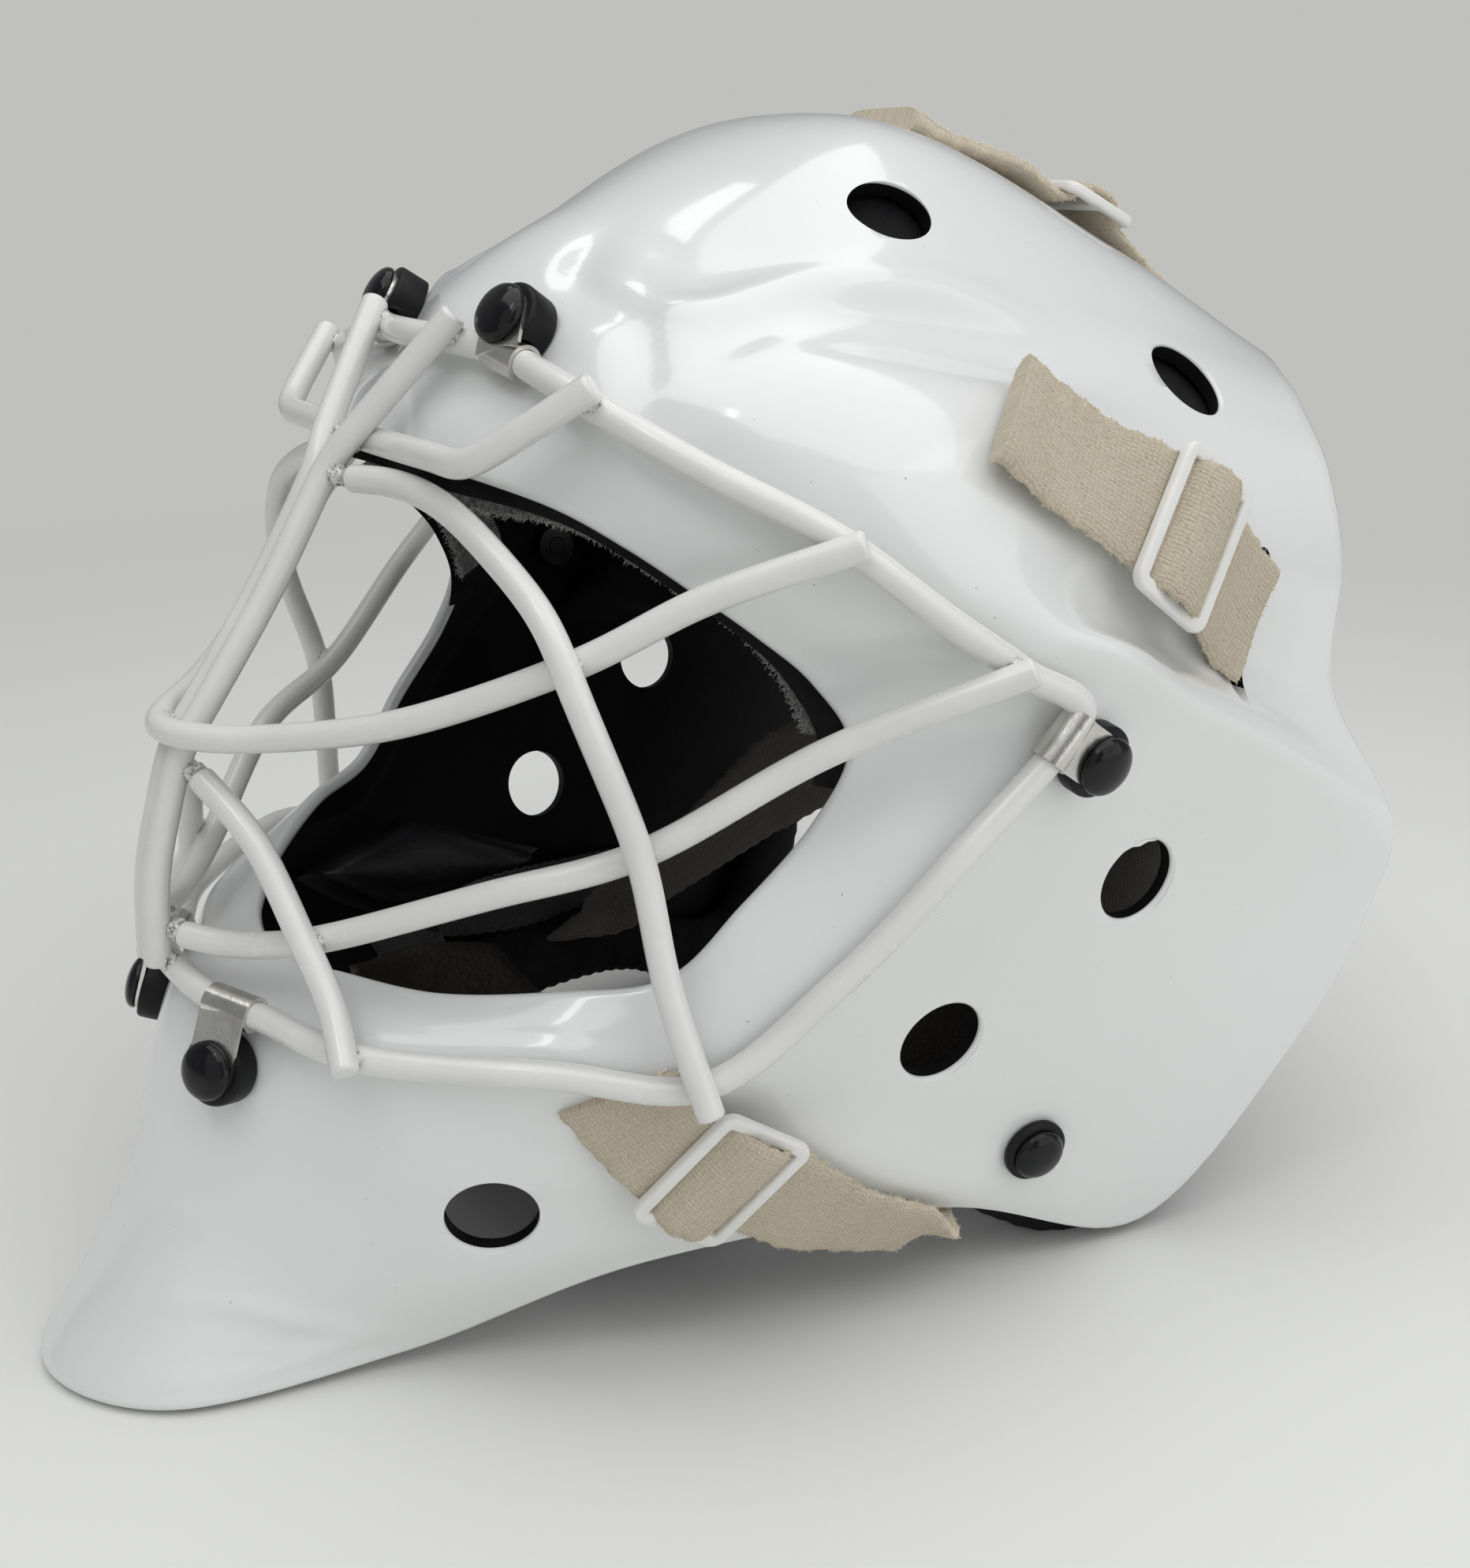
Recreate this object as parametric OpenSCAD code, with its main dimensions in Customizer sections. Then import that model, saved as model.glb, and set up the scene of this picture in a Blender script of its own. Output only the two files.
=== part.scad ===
// Ice hockey goalie mask: a moulded shell, a welded wire cage on six clips, lining pads,
// a chin sling and an elastic harness that draws a back plate into the rear opening.
// The mask faces -Y and stands on its chin lip and the two rear corners of its jaw.
// X is 0 on the plane of symmetry, +X is the wearer's left and Z is 0 on the ground.

/* [Shell] */
// Width of the shell across its rear rim
shell_width = 226; // [205:1:250]
// Length of the shell from the chin lip to the rear of the crown
shell_length = 315; // [290:1:340]
// Height of the shell from the ground to the crown
shell_height = 253; // [230:1:275]
// Thickness of the moulded wall
shell_wall = 3.5; // [3:0.1:4.5]
// Diameter of the round ventilation holes
vent_d = 19; // [12:0.5:22]
// Width of the slots that the harness straps pass through
slot_w = 5; // [4.5:0.1:7]
// Room between a strap's edge and the end of its slot
slot_end_room = 3.5; // [2:0.5:6]

/* [Cage] */
// Diameter of the cage wire
wire_d = 5.6; // [4.5:0.1:6.4]
// Gap between the cage's outer wire and the shell
wire_stand = 1.2; // [0.8:0.1:2]
// Depth that crossing wires melt into each other where they are welded
weld_depth = 0.4; // [0.2:0.05:0.8]
// Length that a bar runs on past the wire it is welded over
bar_overrun = 3; // [2:0.5:5]

/* [Clips and screws] */
// Length of a clip's tube along the wire
clip_length = 11; // [8:0.5:13]
// Thickness of the clip's steel strip
clip_t = 0.8; // [0.6:0.1:1.2]
// Diameter of the rubber washers
washer_d = 15; // [13:0.5:17]
// Thickness of the washers under the chin sling's screws
sling_washer_t = 2.5; // [1.5:0.5:4]
// Diameter of the screws' domed heads
head_d = 10.5; // [9:0.5:11.5]
// Height of the domed heads
head_h = 2.8; // [2:0.1:3.5]
// Diameter of the screws' shanks
shank_d = 4.8; // [4:0.1:5.5]
// Radial room around a shank in its holes
shank_room = 0.25; // [0.15:0.05:0.5]
// Diameter of the nuts' flanges inside the shell
nut_d = 11; // [9:0.5:13]
// Thickness of the nuts' flanges
nut_t = 1.6; // [1.2:0.1:2.5]

/* [Lining] */
// Thickness of the brow pad
brow_pad_t = 12; // [8:0.5:14]
// Thickness of the sweatband on the brow pad
sweatband_t = 4; // [3:0.5:6]
// Thickness of the crown pad
crown_pad_t = 13; // [8:0.5:16]
// Thickness of the side pads
side_pad_t = 14; // [8:0.5:16]
// Thickness of the jaw pads
jaw_pad_t = 12; // [8:0.5:14]
// Gap between a pad and what it lies on
pad_gap = 0.3; // [0.2:0.1:0.6]

/* [Harness] */
// Width of the elastic straps
strap_w = 25; // [20:0.5:26]
// Thickness of the elastic straps
strap_t = 2; // [1.5:0.1:2.4]
// Gap between a strap and what it lies on or passes
strap_gap = 0.4; // [0.3:0.1:0.8]
// Thickness of a slider's bars
slider_t = 2.4; // [1.8:0.1:3]
// Width of a slider's bars
slider_bar = 3; // [2.4:0.1:4]
// Length of each window between a slider's bars
slider_window = 7.5; // [7:0.5:10]
// Thickness of the strap's folded and sewn tail, in layers
tail_layers = 2; // [1:1:3]

/* [Back plate] */
// Width of the back plate
plate_w = 136; // [110:1:140]
// Height of the back plate
plate_h = 126; // [110:1:140]
// Thickness of the back plate
plate_t = 3; // [2.5:0.1:4]
// Thickness of the pad on the back plate
plate_pad_t = 8; // [5:0.5:12]
// Diameter of the back plate's rivet heads
rivet_d = 9; // [7:0.5:11]

/* [Chin sling] */
// Width of the chin cup
cup_w = 70; // [55:1:80]
// Length of the chin cup from front to rear
cup_l = 46; // [36:1:54]
// Thickness of the chin cup
cup_t = 3; // [2.5:0.1:4]
// Width of the sling's straps
sling_w = 18; // [14:0.5:22]
// Thickness of the sling's straps
sling_t = 1.6; // [1.2:0.1:2]

/* [Hidden] */
$fn = 48;
tiny = 0.01;

// The shell's surface was drawn at this size, with the part's middle at this Y and its
// lowest point at this Z
drawn_width = 226;
drawn_length = 315;
drawn_height = 253.1;
drawn_middle = -11.5;
drawn_ground = -1.6;
// Steps between two section rows round the shell, and between two stations along a row
steps_round = 3;
steps_along = 2;

// Section rows of the outer surface on the left half, from the middle of the brow over the
// temple and the jaw to the middle of the chin. Each row runs from the edge of the eye
// opening outwards: eye edge, field, under the cage's outer wire, outside that wire, three
// stations on the body, and the rear or lower rim.
drawn_rows = [
    [[0,-80,187],[0,-75.5,197],[0,-69,207],[0,-58.5,218],[0,-33,232.5],[0,25,251.5],[0,96,228],[0,144,203]],
    [[24,-79.5,187],[25,-74,196],[26,-63,205],[27,-54,215.5],[31,-29,227.5],[34,22,246.5],[38,91,220],[36,139,198]],
    [[50,-69,182],[54,-65,190],[57,-60,199],[58,-50,209],[60,-24,218],[61,5,224],[64,65,209.5],[60,124,193.5]],
    [[64,-60,175],[71,-56,183],[77,-49,190],[76,-44,203],[74,-26,212],[75,5,209],[77,60,199],[76,114,186]],
    [[74,-51,167],[84,-44,173],[93,-34,180],[95,-25,189],[93,-6,197],[91,25,196],[90,65,185],[88,108,176]],
    [[81,-42,159],[93,-32,163],[103,-20,168],[106,-9,173],[102,10,179],[101,38,175],[99,72,166],[97,104,158]],
    [[86,-33,150],[98,-19,154],[108,-5,157],[109.5,6,162],[104,28,157],[100.5,52,148],[100,76,138],[101,101,131]],
    [[89.5,-27,138],[101,-11,141],[110,10,144],[112.5,23,149],[109.5,45,138],[108,68,127],[109,91,114.5],[112,113,101]],
    [[87.5,-34,124],[98,-26,121],[106,-17,118],[107,-2,117],[105,25,112],[104,52,104],[107,84,91],[111,111,79]],
    [[84,-48,109],[93,-43,102],[99,-38,97],[99,-25,93],[97,2,85],[99,34,75],[103,68,61],[107,97,48]],
    [[78,-61,95],[84,-61,86],[88,-59,78],[88,-48,71],[88,-22,59],[91,10,44],[94,42,23],[94,62,2]],
    [[66,-77,92],[70,-82,86],[73,-84,80.5],[76,-76,69],[80,-56,55],[83,-34,43],[85,-14,32],[86,6,22]],
    [[46,-94,88],[48,-103,84],[49.5,-109.5,79],[55,-107,67],[60,-100,54],[63,-89,42],[66,-76,31],[68,-60,23]],
    [[24,-106,87],[25,-115,84],[26,-121,80],[30,-124,68],[34,-125,50],[37,-124,33],[40,-118,17],[43,-104,3]],
    [[12,-110.5,86],[13,-120,84],[14,-127.5,81],[15,-132,70],[16,-137,53],[18,-141,36],[23,-148,17],[30,-152,0.5]],
    [[0,-112,86],[0,-122,85],[0,-131,83],[0,-137,73],[0,-142,56],[0,-147,38],[0,-157,19],[0,-171,0.5]]];

// Places on the shell, each as a row number and a station number
crown_front_vent = [1.62, 4.97];
crown_rear_vent = [2.82, 6.23];
side_vent = [8.25, 4.75];
jaw_vent = [9.45, 4.15];
chin_vent = [12.05, 4.9];
vent_places = [crown_front_vent, crown_rear_vent, side_vent, jaw_vent, chin_vent];
forehead_screw = [1.05, 2.55];
temple_screw = [7.45, 2.95];
chin_screw = [13.6, 2.95];
clip_places = [forehead_screw, temple_screw, chin_screw];
sling_screw = [10, 5.45];
rim_station = 2;

// General helpers
function unit(a) = a / norm(a);
function flip(p) = [-p.x, p.y, p.z];
function blend(a, b, t) = a + (b - a) * t;
function square_to(a, t) = unit(a - t * (a * t));
function fit(p) = [
    p.x * shell_width / drawn_width,
    (p.y - drawn_middle) * shell_length / drawn_length,
    (p.z - drawn_ground) * shell_height / drawn_height];
function spline(a, b, c, d, t) = 0.5 * (2 * b + (c - a) * t
    + (2 * a - 5 * b + 4 * c - d) * t * t
    + (3 * b - a - 3 * c + d) * t * t * t);

// The outer surface as a smooth function of row and station
rows = [for (row = drawn_rows) [for (p = row) fit(p)]];
row_end = len(rows) - 1;
station_end = len(rows[0]) - 1;
function mirrored(row) = [for (p = row) flip(p)];
function row_at(k) = k < 0 ? mirrored(rows[-k])
    : k > row_end ? mirrored(rows[2 * row_end - k])
    : rows[k];
function station_at(row, k) = k < 0 ? 2 * row[0] - row[1]
    : k > station_end ? 2 * row[station_end] - row[station_end - 1]
    : row[k];
function along(row, v) = let(
        i = min(max(floor(v), 0), station_end - 1))
    spline(station_at(row, i - 1), station_at(row, i),
        station_at(row, i + 1), station_at(row, i + 2), v - i);
function skin(u, v) = u < 0 ? flip(skin(-u, v))
    : u > row_end ? flip(skin(2 * row_end - u, v))
    : let(i = min(floor(u), row_end - 1))
    spline(along(row_at(i - 1), v), along(row_at(i), v),
        along(row_at(i + 1), v), along(row_at(i + 2), v), u - i);
probe = 0.02;
function round_way(u, v) = unit(skin(u + probe, v) - skin(u - probe, v));
function along_way(u, v) = unit(skin(u, v + probe) - skin(u, v - probe));
function outward(u, v) = unit(cross(round_way(u, v), along_way(u, v)));
function spot(u, v, height = 0) = skin(u, v) + outward(u, v) * height;

// The same place on the flat facets that the shell is built from, at a height over them
function on_facets(u, v, height) = let(
        u0 = floor(u * steps_round) / steps_round,
        v0 = floor(v * steps_along) / steps_along,
        s = (u - u0) * steps_round,
        t = (v - v0) * steps_along,
        u1 = u0 + 1 / steps_round,
        v1 = v0 + 1 / steps_along,
        p = spot(u1, v0, height),
        q = spot(u0, v1, height))
    s + t < 1
        ? let(o = spot(u0, v0, height)) o + (p - o) * s + (q - o) * t
        : let(o = spot(u1, v1, height)) o + (q - o) * (1 - s) + (p - o) * (1 - t);

// Rings of points joined into one closed solid. Each ring is listed clockwise as seen
// along the way from the first ring to the last. A slab's ring lists one face and then the
// other backwards, and both faces split their four-sided cells along the same diagonals.
function join_faces(rings, size, closed) = [
    for (k = [0 : rings - (closed ? 1 : 2)]) for (j = [0 : size - 1]) let(
            a = k * size + j,
            b = k * size + (j + 1) % size,
            c = ((k + 1) % rings) * size + (j + 1) % size,
            d = ((k + 1) % rings) * size + j)
        each j < size / 2 ? [[a, d, b], [b, d, c]] : [[a, c, b], [a, d, c]]];
function cap_faces(first, size, reverse) = [
    for (j = [0 : size / 2 - 2]) let(
            a = first + j,
            b = first + j + 1,
            c = first + size - 2 - j,
            d = first + size - 1 - j)
        each reverse ? [[a, c, b], [a, d, c]] : [[a, b, c], [a, c, d]]];
module joined(rings, closed = false) {
    count = len(rings);
    size = len(rings[0]);
    polyhedron(
        points = [for (ring = rings) each ring],
        faces = concat(
            join_faces(count, size, closed),
            closed ? [] : cap_faces(0, size, false),
            closed ? [] : cap_faces((count - 1) * size, size, true)),
        convexity = 8);
}
// Children seated on the surface, with Z outwards and Y along a given way
function seat(origin, z, way) = let(
        y = square_to(way, z),
        x = cross(y, z))
    [[x.x, y.x, z.x, origin.x], [x.y, y.y, z.y, origin.y], [x.z, y.z, z.z, origin.z], [0, 0, 0, 1]];
module seated(place) {
    multmatrix(seat(skin(place[0], place[1]), outward(place[0], place[1]),
        along_way(place[0], place[1]))) children();
}
module on_side(side) {
    if (side > 0) children();
    else mirror([1, 0, 0]) children();
}
module both_sides() {
    children();
    mirror([1, 0, 0]) children();
}

// Shell
shell_rings = 2 * row_end * steps_round;
function shell_ring(u) = let(
        n = station_end * steps_along,
        outer = [for (j = [0 : n]) skin(u, j / steps_along)],
        inner = [for (j = [0 : n]) spot(u, j / steps_along, -shell_wall)])
    concat(inner, [for (j = [n : -1 : 0]) outer[j]]);
module shell_body() {
    joined([for (k = [0 : shell_rings - 1]) shell_ring(k / steps_round)], closed = true);
}
cut_depth = 30;
hole_d = shank_d + 2 * shank_room;
module bore_through(d) {
    translate([0, 0, -cut_depth / 2]) cylinder(d = d, h = cut_depth);
}
slot_l = strap_w + 2 * slot_end_room;
module slot_cut() {
    translate([-slot_l / 2, -slot_w / 2, -cut_depth / 2]) cube([slot_l, slot_w, cut_depth]);
}
module shell() {
    color([0.93, 0.93, 0.92]) difference() {
        shell_body();
        both_sides() {
            for (place = vent_places) seated(place) bore_through(vent_d);
            for (place = clip_places) seated(place) bore_through(hole_d);
            seated(sling_screw) bore_through(hole_d);
            slot_frame(side_strap_slot) slot_cut();
        }
        slot_frame(top_strap_slot) slot_cut();
    }
}

// Cage wires
wire_sides = 8;
wire_r = wire_d / 2;
cross_step = wire_d - weld_depth;
function rim_wire(u) = spot(u, rim_station, wire_stand + wire_r);
function over_rim(u) = spot(u, rim_station, wire_stand + wire_r + cross_step);
function bar_way(path, i) = let(last = len(path) - 1)
    unit((i < last ? unit(path[i + 1] - path[i]) : [0, 0, 0])
        + (i > 0 ? unit(path[i] - path[i - 1]) : [0, 0, 0]));
function wire_ring(centre, way, side) = let(
        a = square_to(side, way),
        b = cross(way, a))
    [for (j = [0 : wire_sides - 1]) let(t = (j + 0.5) * 360 / wire_sides)
        centre + wire_r * (a * cos(t) + b * sin(t))];
function carried(path) = [
    for (i = 0, a = cross(bar_way(path, 0), [0.31, 0.42, 0.85]); i < len(path);
            i = i + 1, a = i < len(path) ? square_to(a, bar_way(path, i)) : a) a];
function smooth(points, steps) = let(last = len(points) - 1)
    [for (i = [0 : last - 1]) each [for (k = [0 : steps - 1]) spline(
            i > 0 ? points[i - 1] : 2 * points[0] - points[1],
            points[i],
            points[i + 1],
            i < last - 1 ? points[i + 2] : 2 * points[last] - points[last - 1],
            k / steps)],
        points[last]];
module bar(points, steps = 3) {
    path = smooth(points, steps);
    sides = carried(path);
    joined([for (i = [0 : len(path) - 1]) wire_ring(path[i], bar_way(path, i), sides[i])]);
}
// End of a bar that is welded over the outer wire and runs on a little past it
function over_end(u, from) = over_rim(u) + unit(over_rim(u) - from) * bar_overrun;

module cage_perimeter() {
    path = [for (k = [0 : shell_rings - 1]) rim_wire(k / steps_round)];
    color("white") joined([for (k = [0 : shell_rings - 1]) let(
            u = k / steps_round,
            next = path[(k + 1) % shell_rings],
            before = path[(k + shell_rings - 1) % shell_rings])
        wire_ring(path[k], unit(next - before), outward(u, rim_station))], closed = true);
}
// The two centre bars touch each other from the nose down and part like a V at the brow.
// Their spacing is a share of the wire, so that two eight-sided wires always meet.
twin_share = 0.45;
bar_half = twin_share * wire_d;
centre_top_row = 0.62;
centre_foot_row = 14.8;
centre_nose = fit([0, -127, 132]);
centre_guard = fit([0, -89, 190]);
centre_merge = fit([0, -92.5, 184]);
guard_half = wire_d * 1.05;
function beside(p, x) = [x, p.y, p.z];
centre_path = [
    over_end(centre_top_row, beside(centre_guard, guard_half)),
    over_rim(centre_top_row),
    beside(centre_guard, guard_half),
    beside(centre_merge, bar_half),
    beside(fit([0, -106.5, 161]), bar_half),
    beside(fit([0, -122, 139]), bar_half),
    beside(centre_nose, bar_half),
    beside(fit([0, -130.5, 122]), bar_half),
    beside(fit([0, -135, 106]), bar_half),
    beside(over_rim(centre_foot_row), bar_half),
    beside(over_end(centre_foot_row, fit([0, -135, 106])), bar_half)];
module cage_centre_bars() {
    color("white") both_sides() bar(centre_path, 2);
}
// The brow guard hangs under the outer wire and crosses behind the centre bars
guard_end_row = 2.05;
guard_corner = fit([47, -82.3, 190]);
guard_middle = fit([0, -83, 189.5]);
guard_half_path = [
    over_end(guard_end_row, guard_corner),
    over_rim(guard_end_row),
    blend(over_rim(guard_end_row), guard_corner, 0.75),
    blend(guard_corner, guard_middle, 0.05),
    blend(guard_corner, guard_middle, 0.3)];
module cage_brow_guard() {
    half = guard_half_path;
    other = [for (i = [len(half) - 1 : -1 : 0]) flip(half[i])];
    color("white") bar(concat(half, [guard_middle], other), 2);
}
// The upper bar is one hoop from temple to temple in front of the centre bars
upper_bar_row = 4.15;
upper_bar_nose = fit([0, -130, 136.5]);
upper_cross = fit([71, -74.5, 157.5]);
upper_bar_half = [
    over_end(upper_bar_row, fit([86, -57, 170])),
    over_rim(upper_bar_row),
    fit([86, -56.5, 170]),
    upper_cross,
    fit([46, -97, 144]),
    fit([24, -114.5, 138]),
    fit([11, -125.5, 136.5])];
module cage_upper_bar() {
    half = upper_bar_half;
    other = [for (i = [len(half) - 1 : -1 : 0]) flip(half[i])];
    color("white") bar(concat(half, [upper_bar_nose], other), 3);
}
// Each eye loop leaves the centre bars, rounds the eye and crosses over both side bars
corner_row = 10;
lower_cross = fit([78, -65, 121.5]);
arch_cross = fit([34, -112.5, 99]);
// A bar welded over another at a crossing, out along the common normal of both
function over_bar_at(p, way) = p + unit(way) * cross_step;
eye_loop_path = [
    [guard_half + bar_half, centre_merge.y + 3, centre_merge.z - 1],
    fit([19, -85, 183.5]),
    fit([36, -82, 181]),
    fit([56, -81.5, 173.5]),
    fit([68, -82, 165]),
    over_bar_at(upper_cross, [0.66, -0.74, 0.12]),
    fit([80.5, -74.5, 142]),
    over_bar_at(lower_cross, [0.83, -0.55, 0.02]),
    fit([87, -66, 98]),
    over_rim(corner_row),
    over_end(corner_row, fit([87, -66, 98]))];
module cage_eye_loop(side) {
    color("white") on_side(side) bar(eye_loop_path, 2);
}
// Each lower bar runs from the temple to the side of the centre bars
lower_bar_row = 5.95;
lower_bar_path = [
    over_end(lower_bar_row, fit([96, -37, 141])),
    over_rim(lower_bar_row),
    fit([96, -37, 141]),
    lower_cross,
    fit([62, -89.4, 113]),
    arch_cross,
    fit([18, -124.5, 94.5]),
    [bar_half + wire_d - weld_depth, fit([0, -132.5, 0]).y, fit([0, 0, 95]).z]];
module cage_lower_bar(side) {
    color("white") on_side(side) bar(lower_bar_path, 2);
}
// Each mouth arch springs from the centre bars under the upper bar and crosses the lower bar
arch_row = 12.05;
arch_path = [
    [bar_half + wire_d - weld_depth, fit([0, -125.5, 0]).y, fit([0, 0, 127.5]).z],
    fit([22, -120, 117]),
    over_bar_at(arch_cross, [0.51, -0.85, 0.15]),
    fit([45, -115.5, 90]),
    over_rim(arch_row),
    over_end(arch_row, fit([45, -115.5, 90]))];
module cage_mouth_arch(side) {
    color("white") on_side(side) bar(arch_path, 2);
}

// Clips: a steel strip rolled into a tube round the outer wire, with a tab under a screw
clip_room = 0.1;
clip_r = wire_r + clip_room;
search_span = 0.8;
search_step = 0.05;
search_rows = [for (t = [-search_span : search_step : search_span]) t];
function nearest_row(place) = let(
        gaps = [for (t = search_rows) norm(rim_wire(place[0] + t) - skin(place[0], place[1]))])
    place[0] + search_rows[search(min(gaps), gaps)[0]];
// The tube sits on the middle of the straight stretch of wire that lies nearest
function clip_stretch(place) = let(u = floor(nearest_row(place) * steps_round) / steps_round)
    [rim_wire(u), rim_wire(u + 1 / steps_round)];
function clip_wire(place) = let(ends = clip_stretch(place)) (ends[0] + ends[1]) / 2;
function clip_way(place) = let(ends = clip_stretch(place)) unit(ends[1] - ends[0]);
// Frame of a clip: origin on the shell under its screw, Z outwards, Y towards the wire
function clip_seat(place) = seat(skin(place[0], place[1]), outward(place[0], place[1]),
    clip_wire(place) - skin(place[0], place[1]));
function clip_rise(place) = (clip_wire(place) - skin(place[0], place[1])) * outward(place[0], place[1]);
function clip_reach(place) = let(d = clip_wire(place) - skin(place[0], place[1]))
    norm(d - outward(place[0], place[1]) * clip_rise(place));
// The tab leaves the tube level with its top, and the washer fills the room below the tab
function tab_height(place) = clip_rise(place) + clip_r;
module tube_along(place, r, length) {
    multmatrix(seat(clip_wire(place), clip_way(place), outward(place[0], place[1])))
        translate([0, 0, -length / 2]) cylinder(r = r, h = length);
}
module clip(place) {
    difference() {
        union() {
            tube_along(place, clip_r + clip_t, clip_length);
            multmatrix(clip_seat(place)) translate([0, 0, tab_height(place)]) linear_extrude(clip_t) {
                circle(d = clip_length);
                translate([-clip_length / 2, 0]) square([clip_length, clip_reach(place)]);
            }
        }
        tube_along(place, clip_r, cut_depth);
        seated(place) bore_through(hole_d);
    }
}
module forehead_clips() {
    color([0.72, 0.7, 0.68]) both_sides() clip(forehead_screw);
}
module temple_clips() {
    color([0.72, 0.7, 0.68]) both_sides() clip(temple_screw);
}
module chin_clips() {
    color([0.72, 0.7, 0.68]) both_sides() clip(chin_screw);
}
washer_gap = 0.5;
module washer(height) {
    difference() {
        translate([0, 0, washer_gap]) cylinder(d = washer_d, h = height - washer_gap);
        bore_through(hole_d);
    }
}
module clip_washers() {
    color([0.05, 0.05, 0.05]) both_sides() for (place = clip_places) difference() {
        seated(place) washer(tab_height(place));
        tube_along(place, clip_r + clip_t + washer_gap, cut_depth);
        multmatrix(clip_seat(place)) translate([-washer_d, clip_reach(place), -cut_depth / 2])
            cube([2 * washer_d, washer_d, cut_depth]);
    }
}
// A domed screw head with its shank down to the nut, standing on a seat at a given height
module screw(height, length) {
    dome_r = (head_d * head_d / 4 + head_h * head_h) / (2 * head_h);
    translate([0, 0, height]) {
        intersection() {
            translate([0, 0, head_h - dome_r]) sphere(r = dome_r);
            cylinder(d = head_d, h = head_h);
        }
        translate([0, 0, -length]) cylinder(d = shank_d, h = length + tiny);
    }
}
nut_gap = 0.3;
nut_room = 1.8;
module nut(depth) {
    translate([0, 0, -depth - nut_room - nut_t]) difference() {
        cylinder(d = nut_d, h = nut_t);
        bore_through(hole_d);
    }
}
function screw_length(height, depth) = height + depth + nut_room + nut_t;
module clip_screws() {
    color([0.04, 0.04, 0.04]) both_sides() for (place = clip_places) let(
            height = tab_height(place) + clip_t)
        seated(place) screw(height, screw_length(height, shell_wall));
}
module clip_nuts() {
    color([0.1, 0.1, 0.1]) both_sides() for (place = clip_places)
        seated(place) nut(shell_wall);
}

// Lining pads: cushions that follow the shell, with a crown and drawn-in sides
pad_draw = 0.9;
pad_edge = 0.7;
function crowned(a) = pad_edge + (1 - pad_edge) * (1 - a * a * a * a);
function pad_ring(rows_span, stations, base, t, a, steps) = let(
        middle = [for (s = [rows_span, stations]) (s[0] + s[1]) / 2],
        half = [for (s = [rows_span, stations]) (s[1] - s[0]) / 2],
        ways = [for (j = [0 : steps]) -1 + 2 * j / steps],
        outer = [for (b = ways) on_facets(middle[0] + half[0] * a, middle[1] + half[1] * b, -base)],
        inner = [for (b = ways) spot(
            middle[0] + half[0] * a * pad_draw,
            middle[1] + half[1] * b * pad_draw,
            -base - t * crowned(a) * crowned(b))])
    concat(inner, [for (j = [steps : -1 : 0]) outer[j]]);
module pad(rows_span, stations, base, t) {
    round_steps = round((rows_span[1] - rows_span[0]) * steps_round);
    along_steps = round((stations[1] - stations[0]) * 2 * steps_along);
    joined([for (k = [0 : round_steps])
        pad_ring(rows_span, stations, base, t, -1 + 2 * k / round_steps, along_steps)]);
}
lining_base = shell_wall + pad_gap;
module brow_pad() {
    color([0.06, 0.06, 0.06]) pad([-3, 3], [-0.5, 2], lining_base, brow_pad_t);
}
module sweatband() {
    color([0.35, 0.35, 0.34]) pad([-3, 3], [-0.5, 1],
        lining_base + brow_pad_t + pad_gap, sweatband_t);
}
// The shell bends most over the crown, so its pad has twice the gap
module crown_pad() {
    color([0.06, 0.06, 0.06])
        pad([-8 / 3, 8 / 3], [4.5, 6], lining_base + pad_gap, crown_pad_t);
}
function rows_on_side(span, side) = side > 0 ? span : [-span[1], -span[0]];
module side_pad(side) {
    color([0.06, 0.06, 0.06])
        pad(rows_on_side([16 / 3, 8], side), [3.5, 5], lining_base, side_pad_t);
}
module jaw_pad(side) {
    color([0.05, 0.05, 0.05])
        pad(rows_on_side([10, 34 / 3], side), [3, 4.5], lining_base, jaw_pad_t);
}

// Straps as flat bands through a list of sections, each a centre and a way across
function across(u, v, turn) = let(
        a = round_way(u, v),
        b = cross(outward(u, v), a))
    a * cos(turn) + b * sin(turn);
function on_shell(u, v, height, turn) = [spot(u, v, height), across(u, v, turn), 1, 1];
function band_way(sections, i) = let(last = len(sections) - 1)
    unit((i < last ? unit(sections[i + 1][0] - sections[i][0]) : [0, 0, 0])
        + (i > 0 ? unit(sections[i][0] - sections[i - 1][0]) : [0, 0, 0]));
function band_ring(section, way, w, t) = let(
        a = square_to(section[1], way) * w * section[2] / 2,
        b = cross(way, unit(a)) * t * section[3] / 2,
        c = section[0])
    [c - a - b, c + a - b, c + a + b, c - a + b];
module band(sections, w, t) {
    joined([for (i = [0 : len(sections) - 1])
        band_ring(sections[i], band_way(sections, i), w, t)]);
}
// Heights of a strap's middle above the shell, lying flat and over a slider's centre bar
lie = strap_gap + strap_t / 2;
slider_low = lie + strap_t / 2 + strap_gap;
over_bar = slider_low + slider_t + strap_gap + strap_t / 2;
slider_run = 3 * slider_bar + 2 * slider_window;
slider_span = strap_w + 2 * slider_bar + 2 * strap_gap;
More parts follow.
